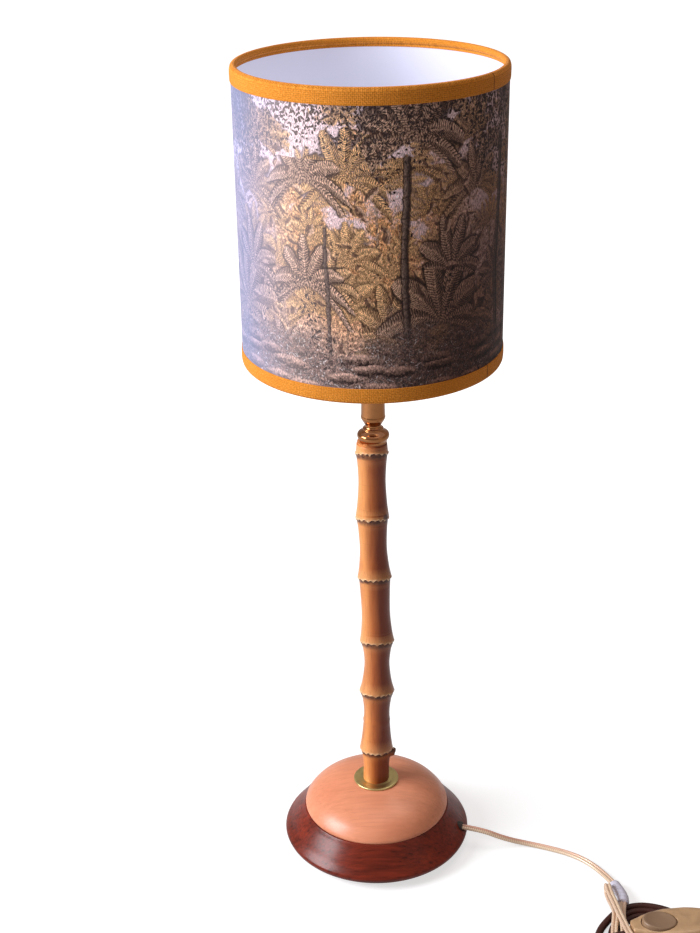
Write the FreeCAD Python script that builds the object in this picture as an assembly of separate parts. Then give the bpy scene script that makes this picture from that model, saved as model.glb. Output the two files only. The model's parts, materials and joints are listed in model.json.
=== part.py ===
"""Bamboo table lamp with a turned wooden base, cane stem, drum shade and a twin flex with its switch.

Millimetres. The origin is the bottom centre of the base, +Z is up and -Y is the front.
The cord leaves towards +X.
"""
import FreeCAD, Part
import math
import os
from FreeCAD import Placement, Rotation, Vector

# Base
felt_thickness = 1.5
felt_inset = 3.0
foot_radius = 66.0
widest_radius = 80.8
widest_height = 11.0
ring_bulge = 0.4
seam_radius = 62.5
seam_height = 34.7
dome_height = 23.5
spigot_inset = 6.0
spigot_depth = 4.5
cavity_radius = 20.0
nut_pocket_radius = 13.0
nut_pocket_top = 44.0

# Central tube, its nut and the flex that it carries
tube_radius = 5.0
tube_bore_radius = 4.0
tube_foot = 33.5
hole_clearance = 0.25
nut_across_flats = 14.0
nut_thickness = 4.0
lock_washer_radius = 10.0
lock_washer_thickness = 1.5
flex_diameter = 5.8
flex_bend_radius = 14.0

# Cord outlet in the base
outlet_height = 17.5
outlet_azimuth = -13.0
bush_proud = 1.7
bush_radius = 4.3
bush_bore_radius = 3.2
bush_length = 9.0

# Seating washer on the dome
seat_radius = 19.1
seat_thickness = 1.8
seat_bead = 0.7

# Cane stem: lengths between joints from the foot up, then the rim radius and sideways lean at each joint
internode_lengths = (30.5, 58.5, 49.5, 61.0, 55.0, 57.5, 11.0)
rim_radii = (14.2, 14.9, 14.5, 14.1, 13.7, 13.5)
joint_leans = (0.3, 1.3, 1.8, 0.2, -1.3, -1.3)
waist_radii = (11.0, 10.9, 10.8, 12.0, 11.0, 10.8)
waist_shares = (0.45, 0.62, 0.56, 0.45, 0.50, 0.56)
cane_foot_radius = 11.3
cane_top_radius = 11.6
rim_overhang = 0.9
rim_lip = 1.6
core_overlap = 2.0
notches_per_rim = 14
notch_radius = 1.3
minor_ring_height = 121.0
minor_ring_radius = 12.4
branch_stub_radius = 4.3
branch_stub_reach = 18.8
branch_stub_drop = 3.0
bud_radius = 3.6
bud_azimuth = -40.0

# Brass cap and neck on the cane
cap_radius = 12.8
cap_height = 14.5
cap_rim_height = 6.5
neck_radius = 6.3
neck_height = 23.0
cup_radius = 9.75
cup_top_radius = 9.3
cup_shoulder = 6.0

# Small screw lampholder
holder_radius = 14.0
holder_wall = 1.1
holder_cap_height = 18.0
holder_shell_height = 36.0
insulator_clearance = 0.2
insulator_foot = 3.0
insulator_web = 3.0
socket_radius = 7.15
socket_wall = 0.4
socket_foot_gap = 2.0
socket_rim_clearance = 1.0
mouth_radius = 11.2
contact_thickness = 0.6
terminal_size = 5.0
terminal_offset = 7.4
core_radius = 0.9
core_spacing = 1.9

# Rings that clamp the shade
shade_ring_radius = 20.5
shade_ring_thickness = 4.5
shade_ring_clearance = 0.15
shade_ring_seat = 35.5

# Drum shade
shade_radius = 100.0
shade_height = 224.7
shade_drop = 5.2
cover_thickness = 0.4
lining_thickness = 0.6
shade_wire_radius = 1.4
wire_clearance = 0.1
trim_thickness = 0.7
trim_width = 12.0
trim_turn_in = 7.5
fitter_radius = 18.5
fitter_thickness = 1.4
spider_arms = 3
spider_start = 60.0

# Bulb with a small screw cap
bulb_length = 78.0
bulb_radius = 22.5
bulb_wall = 0.8
bulb_cap_radius = 6.95
bulb_cap_height = 20.0
bulb_tip_height = 3.2
bulb_tip_radius = 2.4
bulb_collar_radius = 8.6
bulb_collar_drop = 3.0
bulb_contact_gap = 0.2

# In-line switch, in its own frame: length along X, its underside at zero height
switch_place = (240.6, -146.0, 6.3)
switch_turn = 6.0
switch_length = 77.0
switch_nose_width = 12.8
switch_width = 33.0
switch_height = 15.5
switch_nose_height = 14.5
switch_split = 7.2
switch_wall = 1.6
switch_corner = 4.0
switch_cord_height = 5.2
switch_cord_depth = 9.0
rocker_place = -16.5
rocker_length = 28.5
rocker_width = 21.6
rocker_clearance = 0.6
rocker_pivot_height = 12.4
rocker_foot = 10.2
rocker_rise = 17.0
rocker_wall = 1.6
rocker_tilt = 7.0
trunnion_radius = 1.2
trunnion_clearance = 0.1
ear_thickness = 1.6
plunger_radius = 1.5
plunger_clearance = 0.15
plunger_tip_height = 5.6
plunger_top_height = 11.2
spring_wire = 0.45
spring_turns = 4
seesaw_length = 13.0
seesaw_width = 5.0
seesaw_thickness = 0.8
seesaw_pivot_height = 4.4
seesaw_gap = 0.3
terminal_block = 4.0
grip_place = 34.0
grip_length = 2.6
grip_thickness = 1.3
case_screw_place = (12.0, 9.5)
case_screw_radius = 1.4

# Round lead and its plug
lead_diameter = 6.0
coil_centre = (217.0, -152.0)
coil_radius = 46.0
coil_bore_radius = 22.0
tie_radius = 4.7
tie_bore_radius = 3.4
tie_start = 3.0
tie_length = 25.0
plug_place = (274.0, -199.0)
plug_width = 35.3
plug_thickness = 13.7
plug_length = 36.0
plug_tail_width = 13.0
relief_length = 24.0
relief_radius = 5.2
relief_bore_radius = 3.1
pin_radius = 2.0
pin_length = 19.0
pin_spacing = 18.6
sleeve_length = 9.0
sleeve_recess = 0.2

# Sizes and heights that follow from the ones above
flank_run = (widest_radius - seam_radius) * (outlet_height - widest_height) / (seam_height - widest_height)
outlet_reach = widest_radius - flank_run + bush_proud
dome_top = seam_height + dome_height
stem_foot = dome_top + seat_thickness
stem_top = stem_foot + sum(internode_lengths)
cap_top = stem_top + cap_height
holder_foot = cap_top + neck_height
shell_foot = holder_foot + holder_cap_height
shell_top = shell_foot + holder_shell_height
tube_top = holder_foot + 8.0
insulator_bottom = shell_foot + insulator_foot
bulb_tip = insulator_bottom + insulator_web + contact_thickness + bulb_contact_gap
socket_top = bulb_tip + bulb_tip_height + bulb_cap_height - bulb_collar_drop - socket_rim_clearance
fitter_foot = holder_foot + shade_ring_seat + shade_ring_thickness
shade_bottom = fitter_foot - shade_drop
shade_top = shade_bottom + shade_height
low_wire = shade_bottom + trim_thickness + wire_clearance + shade_wire_radius
high_wire = shade_top - trim_thickness - wire_clearance - shade_wire_radius
lining_radius = shade_radius - cover_thickness - lining_thickness
wire_ring_radius = lining_radius - shade_wire_radius - wire_clearance


def edge_through(start, points):
    """Line to one point, arc over two points, or smooth curve through more, in the XZ plane."""
    path = [Vector(r, 0, z) for r, z in (start, *points)]
    if len(path) == 2:
        return Part.LineSegment(*path).toShape()
    if len(path) == 3:
        return Part.Arc(*path).toShape()
    curve = Part.BSplineCurve()
    curve.interpolate(path)
    return curve.toShape()


def turned(start, *steps):
    """Solid turned round Z from an outline of (radius, height) points, closed back to its start."""
    edges = []
    here = start
    for step in (*steps, [start]):
        if len(step) > 1 or step[0] != here:
            edges.append(edge_through(here, step))
        here = step[-1]
    face = Part.Face(Part.Wire(edges))
    return face.revolve(Vector(0, 0, 0), Vector(0, 0, 1), 360)


def rod(radius, foot, top, x=0.0, y=0.0):
    """Upright cylinder between two heights."""
    return Part.makeCylinder(radius, top - foot, Vector(x, y, foot))


def pipe(outer, inner, foot, top):
    """Upright tube between two heights."""
    return rod(outer, foot, top).cut(rod(inner, foot, top))


def bar(radius, start, end):
    """Cylinder from one point to another."""
    start, end = Vector(*start), Vector(*end)
    return Part.makeCylinder(radius, (end - start).Length, start, end - start)


def block(low, high):
    """Box between two corners."""
    return Part.makeBox(high[0] - low[0], high[1] - low[1], high[2] - low[2], Vector(*low))


def spoke_point(radius, azimuth, height):
    """Point at a radius and a compass angle from the lamp's axis."""
    turn = math.radians(azimuth)
    return (radius * math.cos(turn), radius * math.sin(turn), height)


def save(name, *solids):
    """Write one node, whose solids stay separate."""
    shape = solids[0] if len(solids) == 1 else Part.makeCompound(list(solids))
    shape.exportStep(f"parts/{name}.step")
    print(f"{name}: {len(shape.Solids)} solid(s), {shape.Volume:.0f} mm3")


def cord_path(name, points):
    """Straight runs joined by tangent arcs, each as large as its two runs allow."""
    corners = [Vector(*p) for p in points]
    edges = []
    here = corners[0]
    radii = []
    for before, corner, after in zip(corners, corners[1:], corners[2:]):
        inward = (corner - before).normalize()
        outward = (after - corner).normalize()
        half_turn = inward.getAngle(outward) / 2
        reach = 0.45 * min((corner - before).Length, (after - corner).Length)
        radius = reach / math.tan(half_turn)
        start = corner - inward * reach
        end = corner + outward * reach
        centre_way = (outward - inward).normalize()
        middle = corner + centre_way * (radius / math.cos(half_turn) - radius)
        edges.append(Part.LineSegment(here, start).toShape())
        edges.append(Part.Arc(start, middle, end).toShape())
        here = end
        radii.append(round(radius))
    edges.append(Part.LineSegment(here, corners[-1]).toShape())
    wire = Part.Wire(edges)
    print(f"{name}: length {wire.Length:.0f} mm, arc radii {radii}")
    return wire


def cord_tube(name, points, diameter):
    """Round tube along a cord's route."""
    wire = cord_path(name, points)
    start = Vector(*points[0])
    section = Part.Wire(Part.makeCircle(diameter / 2, start, Vector(*points[1]) - start))
    return wire.makePipeShell([section], True, True)


def outlet_cut():
    """Radial hole from the base's cavity out through the ring's side."""
    start = spoke_point(cavity_radius - 5.0, outlet_azimuth, outlet_height)
    end = spoke_point(widest_radius + 5.0, outlet_azimuth, outlet_height)
    return bar(bush_radius, start, end)


def base():
    save("base_felt", rod(foot_radius - felt_inset, 0.0, felt_thickness))
    recess = seam_radius - spigot_inset
    middle = ((widest_radius + seam_radius) / 2 + ring_bulge, (widest_height + seam_height) / 2 + ring_bulge)
    tuck = ((foot_radius + 2 * widest_radius) / 3, felt_thickness + (widest_height - felt_thickness) * 0.32)
    ring = turned(
        (cavity_radius, felt_thickness),
        [(foot_radius, felt_thickness)],
        [tuck, (widest_radius, widest_height)],
        [middle, (seam_radius, seam_height)],
        [(recess, seam_height)],
        [(recess, seam_height - spigot_depth)],
        [(cavity_radius, seam_height - spigot_depth)],
    )
    save("base_ring", ring.cut(outlet_cut()))
    side = (seam_radius * 0.957, seam_height + dome_height * 0.255)
    shoulder = (seam_radius * 0.818, seam_height + dome_height * 0.587)
    crown = (seam_radius * 0.595, seam_height + dome_height * 0.851)
    spigot = recess - hole_clearance
    dome = turned(
        (tube_radius + hole_clearance, nut_pocket_top),
        [(nut_pocket_radius, nut_pocket_top)],
        [(nut_pocket_radius, seam_height - spigot_depth)],
        [(spigot, seam_height - spigot_depth)],
        [(spigot, seam_height)],
        [(seam_radius, seam_height)],
        [side, shoulder, crown, (seat_radius, dome_top)],
        [(tube_radius + hole_clearance, dome_top)],
    )
    save("base_dome", dome)
    mouth = spoke_point(outlet_reach, outlet_azimuth, outlet_height)
    inner = spoke_point(outlet_reach - bush_length, outlet_azimuth, outlet_height)
    save("cord_bush", bar(bush_radius, inner, mouth).cut(bar(bush_bore_radius, inner, mouth)))


def hexagon(across_flats, foot, top):
    """Upright six-sided prism."""
    corner = across_flats / math.sqrt(3)
    angles = [side * math.pi / 3 for side in range(7)]
    points = [Vector(corner * math.cos(angle), corner * math.sin(angle), foot) for angle in angles]
    return Part.Face(Part.makePolygon(points)).extrude(Vector(0, 0, top - foot))


def central_tube():
    save("threaded_tube", pipe(tube_radius, tube_bore_radius, tube_foot, tube_top))
    washer_foot = nut_pocket_top - lock_washer_thickness
    nut_foot = washer_foot - nut_thickness
    save("base_lock_washer", pipe(lock_washer_radius, tube_radius, washer_foot, nut_pocket_top))
    nut = hexagon(nut_across_flats, nut_foot, washer_foot)
    save("base_nut", nut.cut(rod(tube_radius, nut_foot, washer_foot)))
    bead = seat_radius - seat_bead
    seat = turned(
        (tube_radius + hole_clearance, dome_top),
        [(seat_radius, dome_top)],
        [(seat_radius + seat_bead * 0.5, dome_top + seat_thickness * 0.5), (bead, dome_top + seat_thickness)],
        [(tube_radius + hole_clearance, dome_top + seat_thickness)],
    )
    save("seating_washer", seat)


def internode(length, low, waist, waist_share, high):
    """One length of cane standing on Z: its rim at the foot, a waist, and a flare under the next rim.

    A short core below its foot reaches into the length beneath it.
    """
    narrow = length * waist_share
    core = waist - 2.0
    return turned(
        (0.0, -core_overlap),
        [(core, -core_overlap)],
        [(core, 0.0)],
        [(low, 0.0)],
        [(low, rim_lip), (low - (low - waist) * 0.55, narrow * 0.42), (waist, narrow),
         (waist + (high - waist) * 0.45, narrow + (length - narrow) * 0.68), (high, length)],
        [(0.0, length)],
    )


def rim_notches(radius, lean, height, seed):
    """Small round bites that give the rim its ragged lower edge."""
    bites = []
    for index in range(notches_per_rim):
        wander = math.sin(index * 2.4 + seed * 1.7)
        azimuth = math.radians(360.0 / notches_per_rim * (index + 0.28 * wander))
        outward = Vector(math.cos(azimuth), math.sin(azimuth), 0)
        depth = height - 0.5 + 0.45 * wander
        start = Vector(lean, 0, depth) + outward * (radius - rim_overhang)
        bites.append(Part.makeCylinder(notch_radius, rim_overhang + 2.0, start, outward))
    return bites


def cane_stem():
    """The cane leans a little differently at each joint, as it grew."""
    lean_at = (0.0, *joint_leans, joint_leans[-1])
    flare_at = (cane_foot_radius, *rim_radii, cane_top_radius)
    heights = [stem_foot]
    for length in internode_lengths:
        heights.append(heights[-1] + length)
    pieces = []
    bites = []
    for index, length in enumerate(internode_lengths):
        last = index == len(internode_lengths) - 1
        foot_radius_here = flare_at[index]
        top_radius = flare_at[index + 1] if last else flare_at[index + 1] - rim_overhang
        waist = (foot_radius_here + top_radius) / 2 if last else waist_radii[index]
        share = 0.5 if last else waist_shares[index]
        piece = internode(length, foot_radius_here, waist, share, top_radius)
        tilt = math.degrees(math.atan2(lean_at[index + 1] - lean_at[index], length))
        foot_centre = Vector(lean_at[index], 0, heights[index])
        piece.Placement = Placement(foot_centre, Rotation(Vector(0, 1, 0), tilt))
        pieces.append(piece)
        if index:
            bites += rim_notches(flare_at[index], lean_at[index], heights[index], index)
    ring = Part.makeTorus(minor_ring_radius - 1.0, 1.0, Vector(joint_leans[0], 0, minor_ring_height))
    stub_height = heights[1] - branch_stub_drop
    stub = Part.makeCone(branch_stub_radius, branch_stub_radius * 0.55, branch_stub_reach - 8.0,
                         Vector(8.0, 0, stub_height), Vector(1, 0, 0.25))
    bud_centre = spoke_point(rim_radii[4] - bud_radius * 0.6, bud_azimuth, heights[5] + 3.0)
    bud = Part.makeSphere(bud_radius, Vector(*bud_centre))
    cane = pieces[0].fuse([*pieces[1:], ring, stub, bud])
    cane = cane.cut([*bites, rod(tube_radius + hole_clearance, stem_foot - 1.0, stem_top + 1.0)])
    above = block((-40, -40, stem_top), (40, 40, stem_top + 5))
    below = block((-40, -40, stem_foot - 5), (40, 40, stem_foot))
    save("bamboo_stem", cane.cut([above, below]))


def brass_top():
    bore = tube_radius + hole_clearance
    ridge = stem_top + cap_rim_height + 4.6
    cap = turned(
        (bore, stem_top),
        [(cap_radius - 1.2, stem_top)],
        [(cap_radius, stem_top + cap_rim_height * 0.5), (cap_radius - 1.4, stem_top + cap_rim_height)],
        [(9.6, ridge - 2.2), (8.2, ridge)],
        [(neck_radius + 1.0, ridge + 0.6)],
        [(neck_radius + 0.2, ridge + 2.0), (neck_radius, cap_top)],
        [(bore, cap_top)],
    )
    save("stem_cap", cap)
    neck = turned(
        (bore, cap_top),
        [(neck_radius, cap_top)],
        [((neck_radius + cup_radius) / 2 + 0.35, cap_top + cup_shoulder * 0.45),
         (cup_radius, cap_top + cup_shoulder)],
        [(cup_radius + 0.05, cap_top + cup_shoulder + 1.4), (cup_radius - 0.1, cap_top + cup_shoulder + 2.8)],
        [(cup_top_radius, holder_foot)],
        [(bore, holder_foot)],
    )
    save("neck_cup", neck)


def lampholder():
    inner = holder_radius - holder_wall
    bore = tube_radius + hole_clearance
    floor = holder_foot + 7.0
    cap = turned(
        (bore, holder_foot),
        [(cup_top_radius, holder_foot)],
        [(cup_top_radius + 1.2, holder_foot + 5.0), (holder_radius - 0.8, holder_foot + 11.0)],
        [(holder_radius, holder_foot + 13.0), (holder_radius, holder_foot + 15.0)],
        [(holder_radius, shell_foot)],
        [(inner, shell_foot)],
        [(inner, holder_foot + 14.0)],
        [(inner - 1.4, holder_foot + 10.0), (cup_top_radius - 0.6, floor)],
        [(bore, floor)],
    )
    save("holder_cap", cap)
    save("holder_shell", pipe(holder_radius, inner, shell_foot, shell_top))
    outer = inner - insulator_clearance
    web_top = insulator_bottom + insulator_web
    socket_outer = socket_radius + socket_wall
    body = turned(
        (0.0, insulator_bottom),
        [(outer, insulator_bottom)],
        [(outer, shell_top - 1.0)],
        [(mouth_radius, shell_top - 1.0)],
        [(mouth_radius, socket_top)],
        [(socket_outer, socket_top)],
        [(socket_outer, web_top)],
        [(0.0, web_top)],
    )
    save("holder_insulator", body)
    save("holder_screw_shell", pipe(socket_outer, socket_radius, web_top + socket_foot_gap, socket_top))
    save("holder_centre_contact", rod(4.2, web_top, web_top + contact_thickness))
    terminals = []
    screws = []
    cores = []
    half = terminal_size / 2
    low = insulator_bottom - terminal_size
    for side in (-1, 1):
        x = side * terminal_offset
        terminal = block((x - half, -half, low), (x + half, half, insulator_bottom))
        shank = bar(1.2, (x + side * 0.5, 0, low + half), (x + side * half, 0, low + half))
        head = bar(1.9, (x + side * half, 0, low + half), (x + side * (half + 1.2), 0, low + half))
        terminals.append(terminal.cut(shank))
        screws.append(shank.fuse(head))
        cores.append(bar(core_radius, (side * 1.6, 0, tube_top + 1.5), (x - side * half * 0.9, 0, low - 0.2)))
    save("holder_terminals", *terminals)
    save("holder_terminal_screws", *screws)
    save("flex_cores", *cores)


def shade_clamp_rings():
    bore = holder_radius + shade_ring_clearance
    lower_foot = holder_foot + shade_ring_seat
    upper_foot = fitter_foot + fitter_thickness
    rings = (("shade_ring_lower", lower_foot, True), ("shade_ring_upper", upper_foot, False))
    for name, foot, flange_up in rings:
        top = foot + shade_ring_thickness
        flange = top if flange_up else foot
        step = flange - shade_ring_thickness * 0.5 if flange_up else flange + shade_ring_thickness * 0.5
        other = foot if flange_up else top
        ring = turned(
            (bore, flange),
            [(shade_ring_radius, flange)],
            [(shade_ring_radius, step)],
            [(shade_ring_radius - 3.5, other)],
            [(bore, other)],
        )
        save(name, ring)


def arm_ends():
    """Where each arm of the lower frame starts at the fitter and ends at its ring of wire."""
    high = fitter_foot + fitter_thickness / 2
    ends = []
    for index in range(spider_arms):
        azimuth = spider_start + 360.0 / spider_arms * index
        bend = spoke_point(shade_ring_radius + 3.0, azimuth, high)
        ends.append((azimuth, bend, spoke_point(wire_ring_radius, azimuth, low_wire)))
    return ends


def shade_frames():
    save("shade_frame_upper", Part.makeTorus(wire_ring_radius, shade_wire_radius, Vector(0, 0, high_wire)))
    fitter_bore = holder_radius + shade_ring_clearance
    fitter = pipe(fitter_radius, fitter_bore, fitter_foot, fitter_foot + fitter_thickness)
    arms = []
    for azimuth, bend, end in arm_ends():
        flat = block((fitter_radius - 1.6, -2.0, fitter_foot),
                     (shade_ring_radius + 3.0, 2.0, fitter_foot + fitter_thickness))
        flat.rotate(Vector(0, 0, 0), Vector(0, 0, 1), azimuth)
        knuckle = Part.makeSphere(shade_wire_radius, Vector(*bend))
        arms += [flat, knuckle, bar(shade_wire_radius, bend, end)]
    ring = Part.makeTorus(wire_ring_radius, shade_wire_radius, Vector(0, 0, low_wire))
    save("shade_frame_lower", ring.fuse([fitter, *arms]))


def trim_band(edge, way):
    """Folded tape over one rim of the shade. way is +1 at the top and -1 at the bottom."""
    outer = shade_radius + trim_thickness
    inner = wire_ring_radius - shade_wire_radius - wire_clearance
    under_wire = edge - way * (trim_thickness + 2 * wire_clearance + 2 * shade_wire_radius)
    turn_in = edge - way * trim_turn_in
    return turned(
        (shade_radius, edge - way * trim_width),
        [(outer, edge - way * trim_width)],
        [(outer, edge - way * trim_thickness)],
        [(outer - trim_thickness * 0.3, edge - way * trim_thickness * 0.3), (outer - trim_thickness, edge)],
        [(inner, edge)],
        [(inner - trim_thickness * 0.7, edge - way * trim_thickness * 0.3),
         (inner - trim_thickness, edge - way * trim_thickness)],
        [(inner - trim_thickness, under_wire - way * 0.3)],
        [(lining_radius - trim_thickness, under_wire - way * 2.0)],
        [(lining_radius - trim_thickness, turn_in)],
        [(lining_radius, turn_in)],
        [(lining_radius, under_wire - way * 1.6)],
        [(inner, under_wire)],
        [(inner, edge - way * trim_thickness)],
        [(shade_radius, edge - way * trim_thickness)],
    )


def shade():
    foot = shade_bottom + trim_thickness
    top = shade_top - trim_thickness
    save("shade_cover", pipe(shade_radius, shade_radius - cover_thickness, foot, top))
    save("shade_lining", pipe(shade_radius - cover_thickness, lining_radius, foot, top))
    save("shade_trim_top", trim_band(shade_top, 1))
    slits = [bar(shade_wire_radius + wire_clearance, bend, end) for _, bend, end in arm_ends()]
    save("shade_trim_bottom", trim_band(shade_bottom, -1).cut(slits))


def bulb():
    cap_foot = bulb_tip + bulb_tip_height
    cap_top_height = cap_foot + bulb_cap_height
    centre = bulb_tip + bulb_length - bulb_radius
    save("bulb_contact", turned(
        (0.0, bulb_tip),
        [(bulb_tip_radius * 0.7, bulb_tip + 0.2), (bulb_tip_radius, bulb_tip + 1.0)],
        [(0.0, bulb_tip + 1.0)],
    ))
    save("bulb_insulator", turned((0.0, bulb_tip + 1.0), [(bulb_tip_radius, bulb_tip + 1.0)],
                                  [(bulb_cap_radius - 0.8, cap_foot)], [(0.0, cap_foot)]))
    cap = turned(
        (bulb_cap_radius - 1.2, cap_foot),
        [(bulb_cap_radius - 0.6, cap_foot)],
        [(bulb_cap_radius, cap_foot + 1.0)],
        [(bulb_cap_radius, cap_top_height - bulb_collar_drop)],
        [(bulb_collar_radius, cap_top_height)],
        [(bulb_cap_radius - 0.5, cap_top_height)],
        [(bulb_cap_radius - 0.5, cap_foot + 1.0)],
        [(bulb_cap_radius - 1.2, cap_foot + 1.0)],
    )
    save("bulb_cap", cap)
    neck = bulb_collar_radius - 0.2
    waist = (neck + 5.5, cap_top_height + 12.0)
    low_side = (bulb_radius * math.cos(math.radians(-28)), centre + bulb_radius * math.sin(math.radians(-28)))
    inner = bulb_radius - bulb_wall
    low_inner = (inner * math.cos(math.radians(-28)), centre + inner * math.sin(math.radians(-28)))
    shoulder = math.radians(40)
    glass = turned(
        (neck - bulb_wall, cap_top_height),
        [(neck, cap_top_height)],
        [(neck + 1.0, cap_top_height + 4.0), waist, low_side],
        [(bulb_radius * math.cos(shoulder), centre + bulb_radius * math.sin(shoulder)),
         (0.0, centre + bulb_radius)],
        [(0.0, centre + inner)],
        [(inner * math.cos(shoulder), centre + inner * math.sin(shoulder)), low_inner],
        [(waist[0] - bulb_wall, waist[1]), (neck + 1.0 - bulb_wall, cap_top_height + 4.0),
         (neck - bulb_wall, cap_top_height)],
    )
    save("bulb_glass", glass)


def flex_inside():
    """Flex held by the lamp: down the central tube, round below its end and out along the outlet."""
    low = outlet_height + flex_bend_radius
    turn = math.radians(outlet_azimuth)
    out = Vector(math.cos(turn), math.sin(turn), 0)
    half = math.sqrt(0.5)
    start = Vector(0, 0, tube_top + 1.0)
    bend_start = Vector(0, 0, low)
    bend_middle = out * flex_bend_radius * (1 - half) + Vector(0, 0, low - flex_bend_radius * half)
    bend_end = out * flex_bend_radius + Vector(0, 0, outlet_height)
    end = out * (outlet_reach - bush_length) + Vector(0, 0, outlet_height)
    wire = Part.Wire([
        Part.LineSegment(start, bend_start).toShape(),
        Part.Arc(bend_start, bend_middle, bend_end).toShape(),
        Part.LineSegment(bend_end, end).toShape(),
    ])
    section = Part.Wire(Part.makeCircle(flex_diameter / 2, start, Vector(0, 0, -1)))
    save("flex_inside", wire.makePipeShell([section], True, True))


def switch_point(along, across, height):
    """Place in the lamp's frame of a point given in the switch's own frame."""
    turn = math.radians(switch_turn)
    x = switch_place[0] + along * math.cos(turn) - across * math.sin(turn)
    y = switch_place[1] + along * math.sin(turn) + across * math.cos(turn)
    return (x, y, switch_place[2] + height)


def placed(shape):
    """Move a shape from the switch's own frame to where the switch lies."""
    moved = shape.copy()
    stand = Placement(Vector(*switch_place), Rotation(Vector(0, 0, 1), switch_turn))
    moved.Placement = stand.multiply(moved.Placement)
    return moved


def plan_line(start, end):
    """Straight edge in the switch's plan."""
    return Part.LineSegment(Vector(*start, 0), Vector(*end, 0)).toShape()


def plan_arc(start, middle, end):
    """Arc in the switch's plan."""
    return Part.Arc(Vector(*start, 0), Vector(*middle, 0), Vector(*end, 0)).toShape()


def switch_form(inset):
    """Outer form of the switch, or with an inset its hollow: the plan, side and end outlines meet in it."""
    half_length = switch_length / 2 - inset
    nose = switch_nose_width / 2 - inset
    half_width = switch_width / 2 - inset
    top = switch_height - inset
    nose_top = switch_nose_height - inset
    flat, bow, bow_width = half_length * 0.22, half_length * 0.61, half_width * 0.82
    upper = [
        plan_line((-half_length, -nose), (-half_length, nose)),
        plan_arc((-half_length, nose), (-bow, bow_width), (-flat, half_width)),
        plan_line((-flat, half_width), (flat, half_width)),
        plan_arc((flat, half_width), (bow, bow_width), (half_length, nose)),
        plan_line((half_length, nose), (half_length, -nose)),
        plan_arc((half_length, -nose), (bow, -bow_width), (flat, -half_width)),
        plan_line((flat, -half_width), (-flat, -half_width)),
        plan_arc((-flat, -half_width), (-bow, -bow_width), (-half_length, -nose)),
    ]
    plan = Part.Face(Part.Wire(upper)).extrude(Vector(0, 0, switch_height))
    ends = [(-half_length, inset), (-half_length, nose_top), (-half_length * 0.83, nose_top + 0.3),
            (-half_length * 0.74, top), (half_length * 0.74, top), (half_length * 0.83, nose_top + 0.3),
            (half_length, nose_top), (half_length, inset), (-half_length, inset)]
    side = Part.Face(Part.makePolygon([Vector(x, -switch_width, z) for x, z in ends]))
    side = side.extrude(Vector(0, 2 * switch_width, 0))
    soft = switch_corner - inset
    lean = soft * (1 - math.sqrt(0.5))
    x = -switch_length
    section = [
        Part.LineSegment(Vector(x, -half_width, inset), Vector(x, -half_width, top - soft)).toShape(),
        Part.Arc(Vector(x, -half_width, top - soft), Vector(x, lean - half_width, top - lean),
                 Vector(x, soft - half_width, top)).toShape(),
        Part.LineSegment(Vector(x, soft - half_width, top), Vector(x, half_width - soft, top)).toShape(),
        Part.Arc(Vector(x, half_width - soft, top), Vector(x, half_width - lean, top - lean),
                 Vector(x, half_width, top - soft)).toShape(),
        Part.LineSegment(Vector(x, half_width, top - soft), Vector(x, half_width, inset)).toShape(),
        Part.LineSegment(Vector(x, half_width, inset), Vector(x, -half_width, inset)).toShape(),
    ]
    end = Part.Face(Part.Wire(section)).extrude(Vector(2 * switch_length, 0, 0))
    return plan.common(side).common(end)


def oval(half_length, half_width, foot, top):
    """Upright elliptical prism centred on the rocker."""
    ellipse = Part.Ellipse(Vector(rocker_place, 0, foot), half_length, half_width)
    return Part.Face(Part.Wire(ellipse.toShape())).extrude(Vector(0, 0, top - foot))


def cord_holes():
    reach = switch_length / 2
    radius = lead_diameter / 2 + 0.1
    start = reach - switch_wall - 0.5
    return [bar(radius, (side * start, 0, switch_cord_height), (side * (reach + 1.0), 0, switch_cord_height))
            for side in (-1, 1)]


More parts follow.
